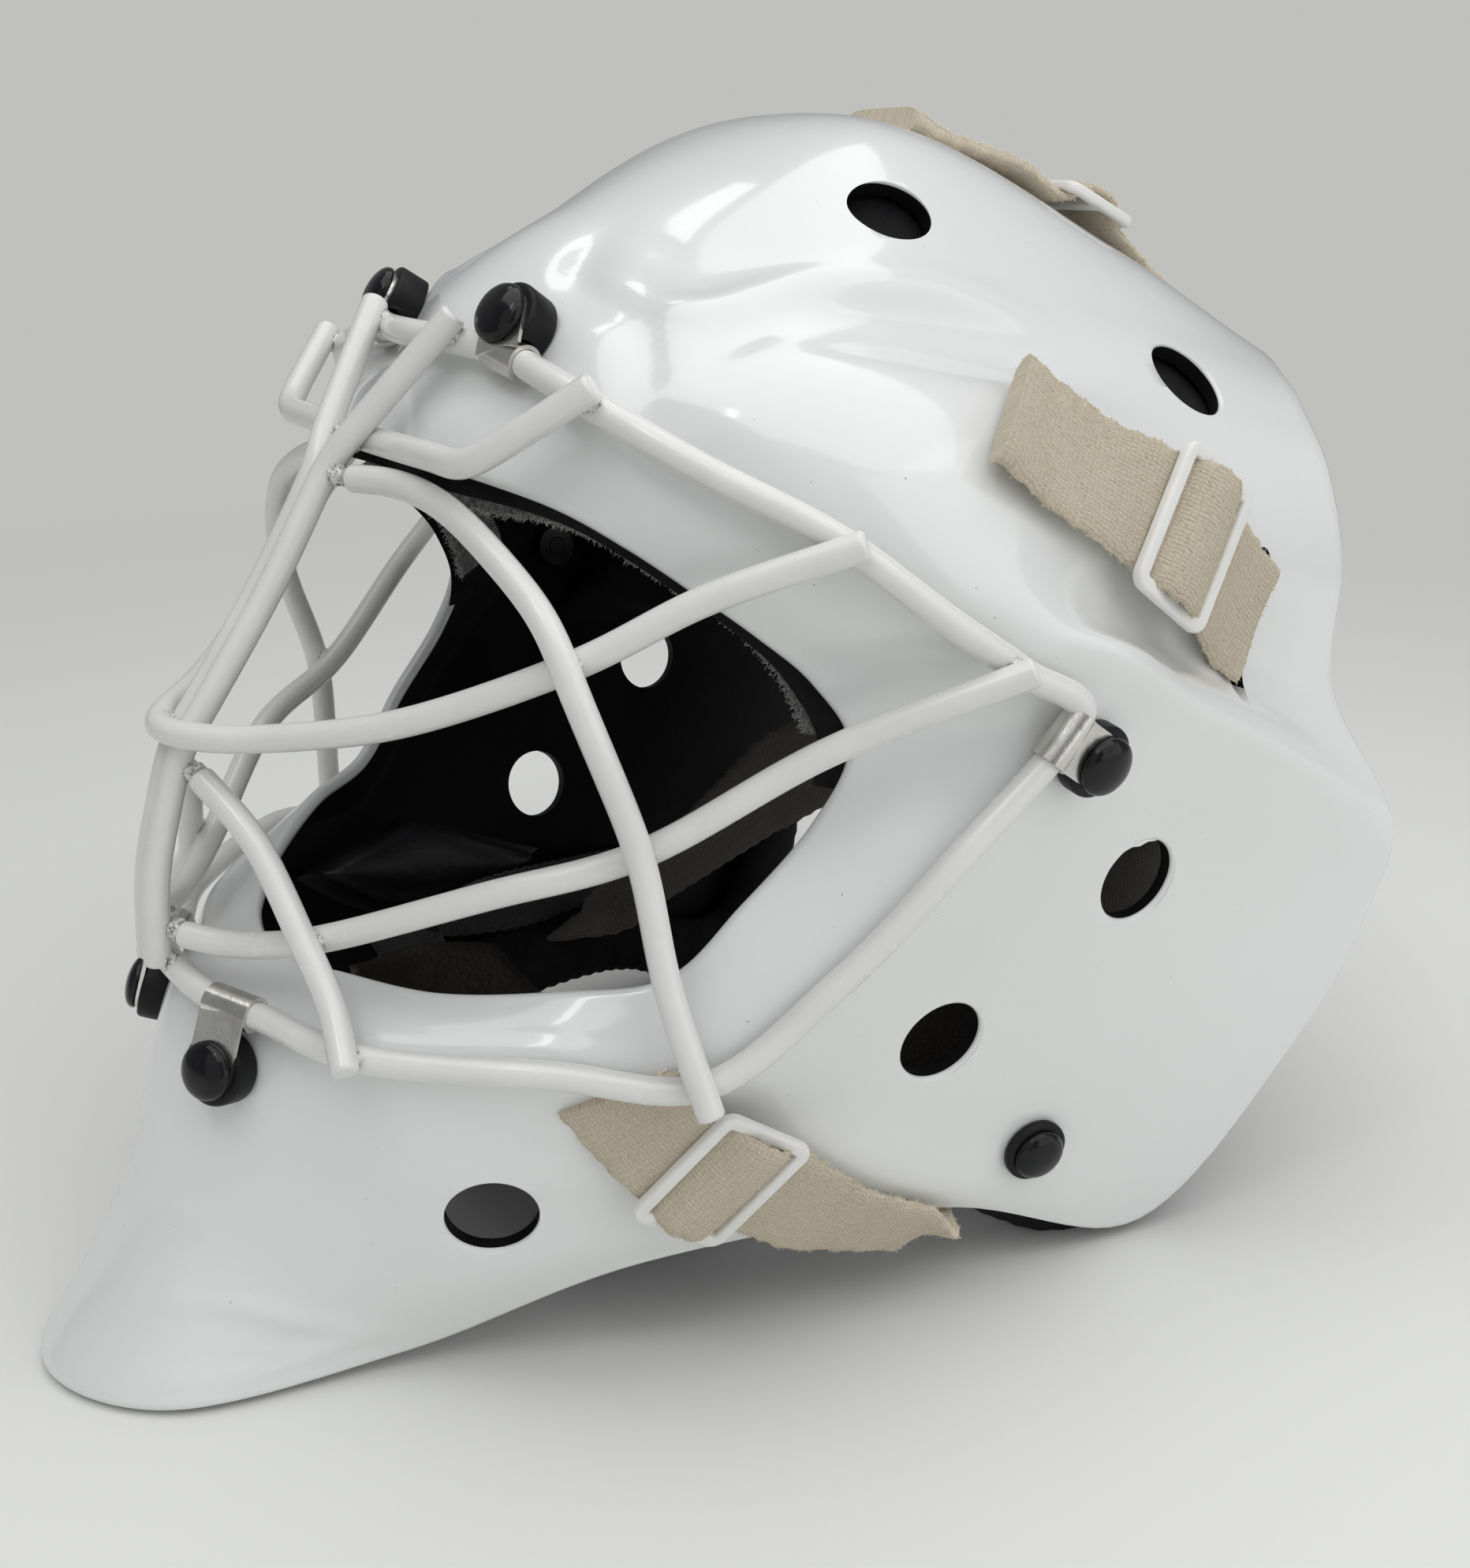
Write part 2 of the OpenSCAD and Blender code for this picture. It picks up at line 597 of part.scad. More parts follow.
// A slider's place: row, station, turn of the strap there and extra height above the shell
function slider_section(place, y, height) = let(
        u = place[0],
        v = place[1],
        a = across(u, v, place[2]),
        n = outward(u, v))
    [skin(u, v) + cross(n, a) * y + n * (height + place[3]), a, 1, 1];
function through_slider(place) = let(
        out = slider_run / 2 + 1,
        under = slider_bar / 2 + slider_window + 0.2,
        top = slider_bar / 2 + 0.4)
    [for (p = [[-out, lie], [-under, lie], [-top, over_bar], [top, over_bar], [under, lie], [out, lie]])
        slider_section(place, p[0], p[1])];
module slider(place) {
    color([0.9, 0.9, 0.88])
        multmatrix(seat(skin(place[0], place[1]), outward(place[0], place[1]),
            cross(outward(place[0], place[1]), across(place[0], place[1], place[2]))))
        translate([0, 0, slider_low + place[3]]) linear_extrude(slider_t) difference() {
            translate([-slider_span / 2, -slider_run / 2]) square([slider_span, slider_run]);
            for (y = [-1, 1]) translate([0, y * (slider_bar + slider_window) / 2])
                square([slider_span - 2 * slider_bar, slider_window], center = true);
        }
}
// A slot: row, station and turn of the strap that passes through it
module slot_frame(place) {
    multmatrix(seat(skin(place[0], place[1]), outward(place[0], place[1]),
        cross(outward(place[0], place[1]), across(place[0], place[1], place[2])))) children();
}
inside_end = -(shell_wall + 1.5);
function into_slot(place) = [
    for (height = [lie + 1.2, 0.6, -shell_wall / 2, inside_end])
        on_shell(place[0], place[1], height, place[2])];
function thick(section) = [section[0], section[1], 1, tail_layers];
function narrowed(section, share) = [section[0], section[1], share, 1];

top_strap_slot = [0, 6.72, 0];
top_slider_place = [0, 6.1, 0, 2.5];
side_strap_slot = [5.6, 5.86, -23];
side_slider_place = [5.08, 5.12, -62, 1.5];
lower_slider_place = [11.08, 4.43, 47, 2];

tail_lift = strap_t * (tail_layers - 1) / 2;
top_route = concat(
    [thick(on_shell(0, 5.3, lie + tail_lift, 0)),
        thick(on_shell(0, 5.36, lie + tail_lift, 0)),
        on_shell(0, 5.42, lie, 0),
        on_shell(0, 5.6, lie + 2.5, 0),
        on_shell(0, 5.8, lie + 3.5, 0)],
    through_slider(top_slider_place),
    [on_shell(0, 6.6, lie, 0)],
    into_slot(top_strap_slot));
side_route = concat(
    [thick(on_shell(4.02, 4.47, lie + tail_lift, -68)),
        thick(on_shell(4.1, 4.48, lie + tail_lift, -68)),
        on_shell(4.2, 4.49, lie, -68),
        on_shell(4.5, 4.55, lie, -68),
        on_shell(4.72, 4.7, lie + 1, -65)],
    through_slider(side_slider_place),
    [slider_section([side_strap_slot[0], side_strap_slot[1], -42, 0], -6.5, lie + 1.2)],
    into_slot(side_strap_slot));
lower_route = concat(
    [thick(on_shell(10.935, 3.4, lie + tail_lift + 1, 45)),
        thick(on_shell(10.94, 3.46, lie + tail_lift + 1, 45)),
        on_shell(10.95, 3.52, lie + 1.5, 45),
        on_shell(10.97, 3.66, lie + 2, 45)],
    through_slider(lower_slider_place),
    [narrowed(on_shell(11.2, 6, lie + 1.5, 40), 0.9),
        narrowed(on_shell(11.2, 6.6, lie + 1.6, 20), 0.75),
        narrowed(on_shell(11.2, 7.46, lie + 1.7, 0), 0.6),
        narrowed(on_shell(11.2, 7.46, -shell_wall - lie - 2, 0), 0.6),
        narrowed(on_shell(11.2, 6.88, -shell_wall - lie - 2.2, 0), 0.6)]);
module strap(route) {
    color([0.82, 0.74, 0.6]) band(route, strap_w, strap_t);
}

// Back plate: a curved shield in the rear opening, with its pad and the straps' rivets
// Extra room for the flat bands over the plate's bend
plate_room = 0.6;
plate_middle = fit([0, 148, 128]);
plate_bend = 88;
plate_tilt_bend = 130;
function plate_point(a, b, out) = let(
        x = a * plate_w / 2,
        z = b * plate_h / 2)
    plate_middle + [x, -x * x / (2 * plate_bend) - z * z / (2 * plate_tilt_bend), z]
        + plate_normal(a, b) * out;
function plate_normal(a, b) = unit([a * plate_w / 2 / plate_bend, 1, b * plate_h / 2 / plate_tilt_bend]);
// A square grid drawn in towards a circle gives the plate its round corners
corner_pull = 0.55;
function rounded(a, b) = let(
        m = max(abs(a), abs(b), tiny),
        k = blend(1, m / max(norm([a, b]), tiny), corner_pull))
    [a * k, b * k];
function plate_ring(a, size, front, back, steps) = let(
        places = [for (j = [0 : steps]) rounded(a, -1 + 2 * j / steps) * size],
        outer = [for (q = places) plate_point(q[0], q[1], back)],
        inner = [for (q = places) plate_point(q[0], q[1], front)])
    concat(outer, [for (j = [steps : -1 : 0]) inner[j]]);
module plate_slab(size, front, back, steps) {
    joined([for (k = [0 : steps]) plate_ring(-1 + 2 * k / steps, size, front, back, steps)]);
}
top_rivet = [0, 0.82];
side_rivet = [0.82, 0.25];
lower_rivet = [0.6, -0.66];
module at_rivets() {
    for (place = [top_rivet, side_rivet, flip_place(side_rivet), lower_rivet, flip_place(lower_rivet)])
        on_plate(place) children();
}
function flip_place(place) = [-place[0], place[1]];
module on_plate(place) {
    multmatrix(seat(plate_point(place[0], place[1], 0), plate_normal(place[0], place[1]), [0, 0, 1]))
        children();
}
plate_pad_size = 0.62;
module backplate() {
    color([0.9, 0.9, 0.89]) difference() {
        plate_slab(1, -plate_t, 0, 12);
        at_rivets() bore_through(hole_d);
    }
}
module backplate_pad() {
    color([0.07, 0.07, 0.07])
        plate_slab(plate_pad_size, -plate_t - pad_gap - plate_pad_t, -plate_t - pad_gap, 10);
}
rivet_h = 2.2;
rivet_seat = lie + plate_room + strap_t / 2 + strap_gap;
module backplate_rivets() {
    dome_r = (rivet_d * rivet_d / 4 + rivet_h * rivet_h) / (2 * rivet_h);
    foot = plate_t + 2 * nut_gap;
    color([0.75, 0.75, 0.74]) at_rivets() {
        translate([0, 0, rivet_seat]) intersection() {
            translate([0, 0, rivet_h - dome_r]) sphere(r = dome_r);
            cylinder(d = rivet_d, h = rivet_h);
        }
        translate([0, 0, -foot - nut_t]) cylinder(d = shank_d, h = foot + nut_t + rivet_seat + tiny);
        translate([0, 0, -foot - nut_t]) cylinder(d = rivet_d, h = nut_t);
    }
}

// Elastics from the inside ends of the straps to the back plate
function lying_on_plate(place, way) = [
    plate_point(place[0], place[1], lie + plate_room),
    square_to(way, plate_normal(place[0], place[1])), 1, 1];
elastic_start = inside_end - strap_gap;
down = [0, 0, -1];
top_elastic_route = concat(
    [for (height = [elastic_start, elastic_start - 3])
        on_shell(top_strap_slot[0], top_strap_slot[1], height, top_strap_slot[2])],
    [for (b = [1.1, 1.02, top_rivet[1], top_rivet[1] - 0.14])
        lying_on_plate([0, b], [1, 0, 0])]);
side_elastic_route = concat(
    [for (height = [elastic_start, elastic_start - 3])
        on_shell(side_strap_slot[0], side_strap_slot[1], height, side_strap_slot[2])],
    [for (a = [1.1, 1.02, side_rivet[0], side_rivet[0] - 0.12])
        lying_on_plate([a, side_rivet[1]], down)]);
lower_turn = narrowed(on_shell(11.2, 6.83, -shell_wall - lie - 2.4, 0), 0.6);
lower_elastic_way = [0, -0.4, -0.9];
lower_elastic_route = [
    lower_turn,
    narrowed(on_shell(11.2, 6.68, -shell_wall - lie - 3, 0), 0.6),
    [lower_turn[0] + [-13, 4, 8], unit(lower_turn[1] + [0, 0, -0.5]), 0.6, 1],
    [lower_turn[0] + [-19, 18, 15], lower_elastic_way, 0.6, 1],
    [fit([62, 60, 62]), lower_elastic_way, 0.9, 1],
    lying_on_plate([0.96, lower_rivet[1] - 0.14], down),
    lying_on_plate([0.8, lower_rivet[1] - 0.08], down),
    lying_on_plate(lower_rivet, down),
    lying_on_plate([lower_rivet[0] - 0.12, lower_rivet[1] + 0.05], down)];
module elastic(route, rivet) {
    color([0.82, 0.74, 0.6]) difference() {
        band(route, strap_w, strap_t);
        on_plate(rivet) bore_through(hole_d);
    }
}

// Chin sling: a cup held by a strap from each side of the jaw
cup_middle = fit([0, -66, 44]);
cup_side_rise = 12;
cup_front_rise = 8;
cup_rear_rise = 2;
function cup_point(a, b, out) = cup_middle + [
    a * cup_w / 2,
    b * cup_l / 2,
    cup_side_rise * a * a + (b < 0 ? cup_front_rise : cup_rear_rise) * b * b + out];
cup_steps = 10;
function cup_ring(a) = let(
        places = [for (j = [0 : cup_steps]) rounded(a, -1 + 2 * j / cup_steps)],
        lower = [for (q = places) cup_point(q[0], q[1], 0)],
        upper = [for (q = places) cup_point(q[0], q[1], cup_t)])
    concat(lower, [for (j = [cup_steps : -1 : 0]) upper[j]]);
module chin_cup() {
    color([0.08, 0.08, 0.08]) joined([for (k = [0 : cup_steps]) cup_ring(-1 + 2 * k / cup_steps)]);
}
// The strap's flat stretches keep clear of the curved wall and cup
sling_gap = 1.35;
sling_lie = sling_gap + sling_t / 2;
sling_depth = shell_wall + sling_lie;
cup_lie = pad_gap + 0.8 + sling_t / 2;
sling_across = [0, 0.2, 1];
under_cup_across = [0, 1, 0];
sling_bend = fit([64, -22, 49]);
function sling_on_shell(u, v) = [spot(u, v, -sling_depth), sling_across, 1, 1];
function under_cup(a) = [cup_point(a, 0, -cup_lie), under_cup_across, 1, 1];
// Between the bend and the cup the strap turns from its edge onto its flat
sling_route = [
    sling_on_shell(sling_screw[0] - 0.08, sling_screw[1] + 0.15),
    sling_on_shell(sling_screw[0], sling_screw[1]),
    sling_on_shell(sling_screw[0] + 0.1, sling_screw[1] - 0.19),
    for (t = [0 : 0.2 : 0.8])
        [blend(sling_bend, under_cup(1.25)[0], t), blend(sling_across, under_cup_across, t), 1, 1],
    for (a = [1.25, 1.12, 1, 0.9, 0.8, 0.65]) under_cup(a)];
module chin_strap(side) {
    color([0.1, 0.1, 0.1]) on_side(side) difference() {
        band(sling_route, sling_w, sling_t);
        seated(sling_screw) bore_through(hole_d);
    }
}
sling_stack = shell_wall + sling_gap + sling_t + nut_gap;
module sling_washers() {
    color([0.05, 0.05, 0.05]) both_sides() seated(sling_screw) washer(sling_washer_t);
}
module sling_screws() {
    color([0.04, 0.04, 0.04]) both_sides() seated(sling_screw)
        screw(sling_washer_t, screw_length(sling_washer_t, sling_stack));
}
module sling_nuts() {
    color([0.1, 0.1, 0.1]) both_sides() seated(sling_screw) nut(sling_stack);
}

shell();
cage_perimeter();
cage_centre_bars();
cage_brow_guard();
cage_upper_bar();
cage_eye_loop(1);  // cage_eye_loop_left
cage_eye_loop(-1);  // cage_eye_loop_right
cage_lower_bar(1);  // cage_lower_bar_left
cage_lower_bar(-1);  // cage_lower_bar_right
cage_mouth_arch(1);  // cage_mouth_arch_left
cage_mouth_arch(-1);  // cage_mouth_arch_right
forehead_clips();
temple_clips();
chin_clips();
clip_washers();
clip_screws();
clip_nuts();
brow_pad();
sweatband();
crown_pad();
side_pad(1);  // side_pad_left
side_pad(-1);  // side_pad_right
jaw_pad(1);  // jaw_pad_left
jaw_pad(-1);  // jaw_pad_right
strap(top_route);  // top_strap
strap(side_route);  // side_strap_left
on_side(-1) strap(side_route);  // side_strap_right
strap(lower_route);  // lower_strap_left
on_side(-1) strap(lower_route);  // lower_strap_right
slider(top_slider_place);  // top_slider
slider(side_slider_place);  // side_slider_left
on_side(-1) slider(side_slider_place);  // side_slider_right
slider(lower_slider_place);  // lower_slider_left
on_side(-1) slider(lower_slider_place);  // lower_slider_right
elastic(top_elastic_route, top_rivet);  // top_elastic
elastic(side_elastic_route, side_rivet);  // side_elastic_left
on_side(-1) elastic(side_elastic_route, side_rivet);  // side_elastic_right
elastic(lower_elastic_route, lower_rivet);  // lower_elastic_left
on_side(-1) elastic(lower_elastic_route, lower_rivet);  // lower_elastic_right
backplate();
backplate_pad();
backplate_rivets();
chin_cup();
chin_strap(1);  // chin_strap_left
chin_strap(-1);  // chin_strap_right
sling_washers();
sling_screws();
sling_nuts();
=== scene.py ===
# Looks of the ice hockey goalie mask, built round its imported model.
# Helpers work in the row frame in millimetres; meshes are made in metres.
import math
import random

import bmesh
import bpy
import numpy as np
from mathutils import Matrix, Vector


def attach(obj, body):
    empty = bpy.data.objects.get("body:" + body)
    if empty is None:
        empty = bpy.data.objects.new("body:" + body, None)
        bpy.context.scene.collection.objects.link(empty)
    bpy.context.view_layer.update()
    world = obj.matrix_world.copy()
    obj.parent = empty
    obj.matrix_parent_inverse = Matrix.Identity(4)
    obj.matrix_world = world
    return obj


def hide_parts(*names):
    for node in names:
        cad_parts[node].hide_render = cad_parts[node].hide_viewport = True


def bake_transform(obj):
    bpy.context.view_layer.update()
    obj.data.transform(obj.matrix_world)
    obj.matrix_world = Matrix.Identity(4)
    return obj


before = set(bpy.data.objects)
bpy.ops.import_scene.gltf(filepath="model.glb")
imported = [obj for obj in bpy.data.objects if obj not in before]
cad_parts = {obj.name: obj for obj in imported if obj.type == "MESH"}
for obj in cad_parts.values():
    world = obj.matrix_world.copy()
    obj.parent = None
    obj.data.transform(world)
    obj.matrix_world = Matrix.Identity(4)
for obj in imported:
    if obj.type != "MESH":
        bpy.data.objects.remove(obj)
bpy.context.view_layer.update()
random.seed(7)
MM = 0.001

# Sizes shared with the part's source, in millimetres
WALL = 3.5
WIRE_R = 2.8
WIRE_STAND = 1.2
CROSS_STEP = 5.2
BAR_OVERRUN = 3.0
STRAP_W, STRAP_T, STRAP_GAP = 25.0, 2.0, 0.4
SLIDER_T, SLIDER_BAR, SLIDER_WINDOW = 2.4, 3.0, 7.5
WASHER_D, HEAD_D, HEAD_H, CLIP_T = 15.0, 12.0, 3.3, 0.8
ROW_END, STATION_END = 15, 7

# Section rows of the outer surface, from the middle of the brow over the temple to the chin
DRAWN_ROWS = np.array([
    0, -80, 187,  0, -75.5, 197,  0, -69, 207,  0, -58.5, 218,
    0, -33, 232.5,  0, 25, 251.5,  0, 96, 228,  0, 144, 203,
    24, -79.5, 187,  25, -74, 196,  26, -63, 205,  27, -54, 215.5,
    31, -29, 227.5,  34, 22, 246.5,  38, 91, 220,  36, 139, 198,
    50, -69, 182,  54, -65, 190,  57, -60, 199,  58, -50, 209,
    60, -24, 218,  61, 5, 224,  64, 65, 209.5,  60, 124, 193.5,
    64, -60, 175,  71, -56, 183,  77, -49, 190,  76, -44, 203,
    74, -26, 212,  75, 5, 209,  77, 60, 199,  76, 114, 186,
    74, -51, 167,  84, -44, 173,  93, -34, 180,  95, -25, 189,
    93, -6, 197,  91, 25, 196,  90, 65, 185,  88, 108, 176,
    81, -42, 159,  93, -32, 163,  103, -20, 168,  106, -9, 173,
    102, 10, 179,  101, 38, 175,  99, 72, 166,  97, 104, 158,
    86, -33, 150,  98, -19, 154,  108, -5, 157,  109.5, 6, 162,
    104, 28, 157,  100.5, 52, 148,  100, 76, 138,  101, 101, 131,
    89.5, -27, 138,  101, -11, 141,  110, 10, 144,  112.5, 23, 149,
    109.5, 45, 138,  108, 68, 127,  109, 91, 114.5,  112, 113, 101,
    87.5, -34, 124,  98, -26, 121,  106, -17, 118,  107, -2, 117,
    105, 25, 112,  104, 52, 104,  107, 84, 91,  111, 111, 79,
    84, -48, 109,  93, -43, 102,  99, -38, 97,  99, -25, 93,
    97, 2, 85,  99, 34, 75,  103, 68, 61,  107, 97, 48,
    78, -61, 95,  84, -61, 86,  88, -59, 78,  88, -48, 71,
    88, -22, 59,  91, 10, 44,  94, 42, 23,  94, 62, 2,
    66, -77, 92,  70, -82, 86,  73, -84, 80.5,  76, -76, 69,
    80, -56, 55,  83, -34, 43,  85, -14, 32,  86, 6, 22,
    46, -94, 88,  48, -103, 84,  49.5, -109.5, 79,  55, -107, 67,
    60, -100, 54,  63, -89, 42,  66, -76, 31,  68, -60, 23,
    24, -106, 87,  25, -115, 84,  26, -121, 80,  30, -124, 68,
    34, -125, 50,  37, -124, 33,  40, -118, 17,  43, -104, 3,
    12, -110.5, 86,  13, -120, 84,  14, -127.5, 81,  15, -132, 70,
    16, -137, 53,  18, -141, 36,  23, -148, 17,  30, -152, 0.5,
    0, -112, 86,  0, -122, 85,  0, -131, 83,  0, -137, 73,
    0, -142, 56,  0, -147, 38,  0, -157, 19,  0, -171, 0.5], float).reshape(16, 8, 3)
FLIP = np.array([-1.0, 1.0, 1.0])

# Places on the shell, each as a row and a station
VENTS = [(1.62, 4.97), (2.82, 6.23), (8.25, 4.75), (9.45, 4.15), (12.05, 4.9)]
CLIP_SCREWS = [(1.05, 2.55), (7.45, 2.95), (13.6, 2.95)]
SLING_SCREW = (10.0, 5.45)
RIM_STATION = 2


def fit(p):
    p = np.asarray(p, float)
    return np.stack([p[..., 0], p[..., 1] + 11.5, (p[..., 2] + 1.6) * 253 / 253.1], -1)


def unit(a):
    a = np.asarray(a, float)
    return a / np.maximum(np.linalg.norm(a, axis=-1, keepdims=True), 1e-12)


def square_to(a, t):
    return unit(a - t * np.sum(np.asarray(a) * t, -1, keepdims=True))


def spline(a, b, c, d, t):
    """A curve from b to c, with a and d as the points before and after them."""
    bend, twist = 2 * a - 5 * b + 4 * c - d, 3 * b - a - 3 * c + d
    return 0.5 * (2 * b + (c - a) * t + bend * t ** 2 + twist * t ** 3)


half_net = fit(DRAWN_ROWS)
net = np.concatenate([half_net, half_net[ROW_END - 1:0:-1] * FLIP])
net = np.concatenate([2 * net[:, :1] - net[:, 1:2], net, 2 * net[:, -1:] - net[:, -2:-1]], 1)


def skin(u, v):
    """The outer surface at a row and a station."""
    u, v = np.broadcast_arrays(np.asarray(u, float), np.asarray(v, float))
    j = np.clip(np.floor(v), 0, STATION_END - 1).astype(int)
    t = (v - j)[..., None]
    i = np.floor(u).astype(int)
    s = (u - i)[..., None]
    rows = [spline(*[net[(i + d) % (2 * ROW_END), j + e] for e in range(4)], t) for d in (-1, 0, 1, 2)]
    return spline(*rows, s)


def round_way(u, v):
    return unit(skin(u + 0.02, v) - skin(u - 0.02, v))


def along_way(u, v):
    return unit(skin(u, v + 0.02) - skin(u, v - 0.02))


def outward(u, v):
    return unit(np.cross(round_way(u, v), along_way(u, v)))


def spot(u, v, height=0.0):
    return skin(u, v) + outward(u, v) * np.asarray(height)[..., None]


# Meshes and placing
def linked(name, data):
    made = bpy.data.objects.new(name, data)
    bpy.context.scene.collection.objects.link(made)
    return made


def coated(obj, finish):
    obj.data.materials.clear()
    obj.data.materials.append(finish)


def in_place_of(obj, body, node):
    """The piece rides on the body and stands for the node, whose part is hidden."""
    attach(obj, body)
    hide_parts(node)


def new_piece(name, points, faces, smooth=True):
    """A mesh object from points in millimetres."""
    mesh = bpy.data.meshes.new(name)
    mesh.from_pydata([tuple(p * MM) for p in np.asarray(points, float).reshape(-1, 3)], [], faces)
    mesh.update()
    obj = linked(name, mesh)
    if smooth:
        mesh.shade_smooth()
    return obj


def tidy_mesh(obj, merge=0.0):
    bm = bmesh.new()
    bm.from_mesh(obj.data)
    if merge:
        bmesh.ops.remove_doubles(bm, verts=bm.verts, dist=merge)
    bmesh.ops.recalc_face_normals(bm, faces=bm.faces)
    bm.to_mesh(obj.data)
    bm.free()
    return obj


def sharpen(obj, degrees=32):
    obj.data.shade_smooth()
    obj.data.set_sharp_from_angle(angle=math.radians(degrees))
    return obj


def dressed(obj, degrees, finish, merge=0.0):
    """The piece with its faces put right, its edges over the angle sharp, and its finish."""
    sharpen(tidy_mesh(obj, merge), degrees)
    obj.data.materials.append(finish)
    return obj


def applied(obj):
    """The object's mesh with its modifiers and its place in it."""
    deps = bpy.context.evaluated_depsgraph_get()
    mesh = bpy.data.meshes.new_from_object(obj.evaluated_get(deps), depsgraph=deps)
    mesh.transform(obj.matrix_world)
    old = obj.name
    bpy.data.objects.remove(obj)
    mesh.name = old
    return linked(old, mesh)


def from_bmesh(name, bm):
    mesh = bpy.data.meshes.new(name)
    bm.to_mesh(mesh)
    bm.free()
    return linked(name, mesh)


def joined(name, parts):
    """Several mesh objects as one piece."""
    bm = bmesh.new()
    materials = []
    for part in parts:
        first = len(bm.faces)
        bm.from_mesh(part.data)
        bm.faces.ensure_lookup_table()
        slots = [materials.index(m) if m in materials else (materials.append(m) or len(materials) - 1)
                 for m in part.data.materials]
        for f in bm.faces[first:]:
            f.material_index = slots[f.material_index] if slots else 0
        bpy.data.objects.remove(part)
    obj = from_bmesh(name, bm)
    for m in materials:
        obj.data.materials.append(m)
    return obj


def flipped(obj, name):
    """A mirror image of a piece across the plane of symmetry."""
    mesh = obj.data.copy()
    mesh.transform(Matrix.Scale(-1, 4, (1, 0, 0)))
    mesh.flip_normals()
    mesh.name = name
    return linked(name, mesh)


def sided(obj, name, right):
    """The piece, or its mirror image in its place, under its own name."""
    if right:
        left = obj
        obj = flipped(left, name)
        bpy.data.objects.remove(left)
    obj.name = name
    return obj


def seat_matrix(origin, z, way):
    """Metres matrix with Z along z and Y towards way."""
    z = unit(z)
    y = square_to(way, z)
    x = np.cross(y, z)
    return Matrix([[x[0], y[0], z[0], origin[0] * MM], [x[1], y[1], z[1], origin[1] * MM],
                   [x[2], y[2], z[2], origin[2] * MM], [0, 0, 0, 1]])


def lathe(name, profile, sides, frame_matrix):
    """A turned piece from a profile of radius and height in millimetres."""
    points, faces = [], []
    n = len(profile)
    for k in range(sides):
        a = 2 * math.pi * k / sides
        points += [(r * math.cos(a), r * math.sin(a), z) for r, z in profile]
    for k in range(sides):
        for i in range(n - 1):
            a, b = k * n + i, k * n + i + 1
            c, d = ((k + 1) % sides) * n + i + 1, ((k + 1) % sides) * n + i
            faces.append((a, d, c, b))
    obj = new_piece(name, points, faces)
    obj.data.transform(frame_matrix)
    return tidy_mesh(obj, 1e-6)


def smooth_path(points, steps):
    """Points on a curve through the given ones."""
    p = np.asarray(points, float)
    q = np.concatenate([[2 * p[0] - p[1]], p, [2 * p[-1] - p[-2]]])
    out = []
    for i in range(len(p) - 1):
        for k in range(steps):
            out.append(spline(q[i], q[i + 1], q[i + 2], q[i + 3], k / steps))
    out.append(p[-1])
    return np.array(out)


def eased(table, step, softness):
    """Rows of a table whose first three columns are a place, respaced evenly and softened at their bends."""
    run = np.r_[0, np.cumsum(np.linalg.norm(np.diff(table[:, :3], axis=0), axis=1))]
    even = np.linspace(0, run[-1], max(8, int(run[-1] / step)))
    out = np.stack([np.interp(even, run, table[:, k]) for k in range(table.shape[1])], 1)
    for _ in range(softness):
        out[1:-1] = (out[:-2] + 2 * out[1:-1] + out[2:]) / 4
    return out


# Geometry Nodes trees
def added(tree, kind, **inputs):
    """A new node in a tree, whose sockets are linked from other sockets or set to plain values."""
    made = tree.nodes.new(kind)
    for key, value in inputs.items():
        socket = made.inputs[key.replace("_", " ")]
        if isinstance(value, bpy.types.NodeSocket):
            tree.links.new(value, socket)
        else:
            socket.default_value = value
    return made


def new_tree(name, **inputs):
    tree = bpy.data.node_groups.new(name, "GeometryNodeTree")
    tree.interface.new_socket("Geometry", in_out="INPUT", socket_type="NodeSocketGeometry")
    for label, kind in inputs.items():
        tree.interface.new_socket(label.replace("_", " "), in_out="INPUT", socket_type="NodeSocket" + kind)
    tree.interface.new_socket("Geometry", in_out="OUTPUT", socket_type="NodeSocketGeometry")
    return tree, tree.nodes.new("NodeGroupInput").outputs


def finished(tree, geometry, entry):
    """Ends a tree in real geometry with its material."""
    real = added(tree, "GeometryNodeRealizeInstances", Geometry=geometry)
    coat = added(tree, "GeometryNodeSetMaterial", Geometry=real.outputs["Geometry"], Material=entry["Finish"])
    added(tree, "NodeGroupOutput", Geometry=coat.outputs["Geometry"])
    return tree


def wire_tree():
    """Bends a round wire along a curve, with closed ends."""
    tree, entry = new_tree("cage wire", Wire_radius="Float", Sides="Int", Finish="Material")
    ring = added(tree, "GeometryNodeCurvePrimitiveCircle", Resolution=entry["Sides"],
                 Radius=entry["Wire radius"])
    sweep = added(tree, "GeometryNodeCurveToMesh", Curve=entry["Geometry"],
                  Profile_Curve=ring.outputs["Curve"], Fill_Caps=True)
    shade = added(tree, "GeometryNodeSetShadeSmooth", Geometry=sweep.outputs["Mesh"])
    return finished(tree, shade.outputs["Geometry"], entry)


def scatter_tree():
    """Sets a copy of one small mesh at every point, turned by the points' own attribute."""
    tree, entry = new_tree("set at points", Shape="Object", Size="Float", Finish="Material")
    shape = added(tree, "GeometryNodeObjectInfo", Object=entry["Shape"])
    turn = added(tree, "GeometryNodeInputNamedAttribute", Name="turn")
    turn.data_type = "FLOAT_VECTOR"
    place = added(tree, "GeometryNodeInstanceOnPoints", Points=entry["Geometry"], Scale=entry["Size"],
                  Instance=shape.outputs["Geometry"], Rotation=turn.outputs["Attribute"])
    return finished(tree, place.outputs["Instances"], entry)


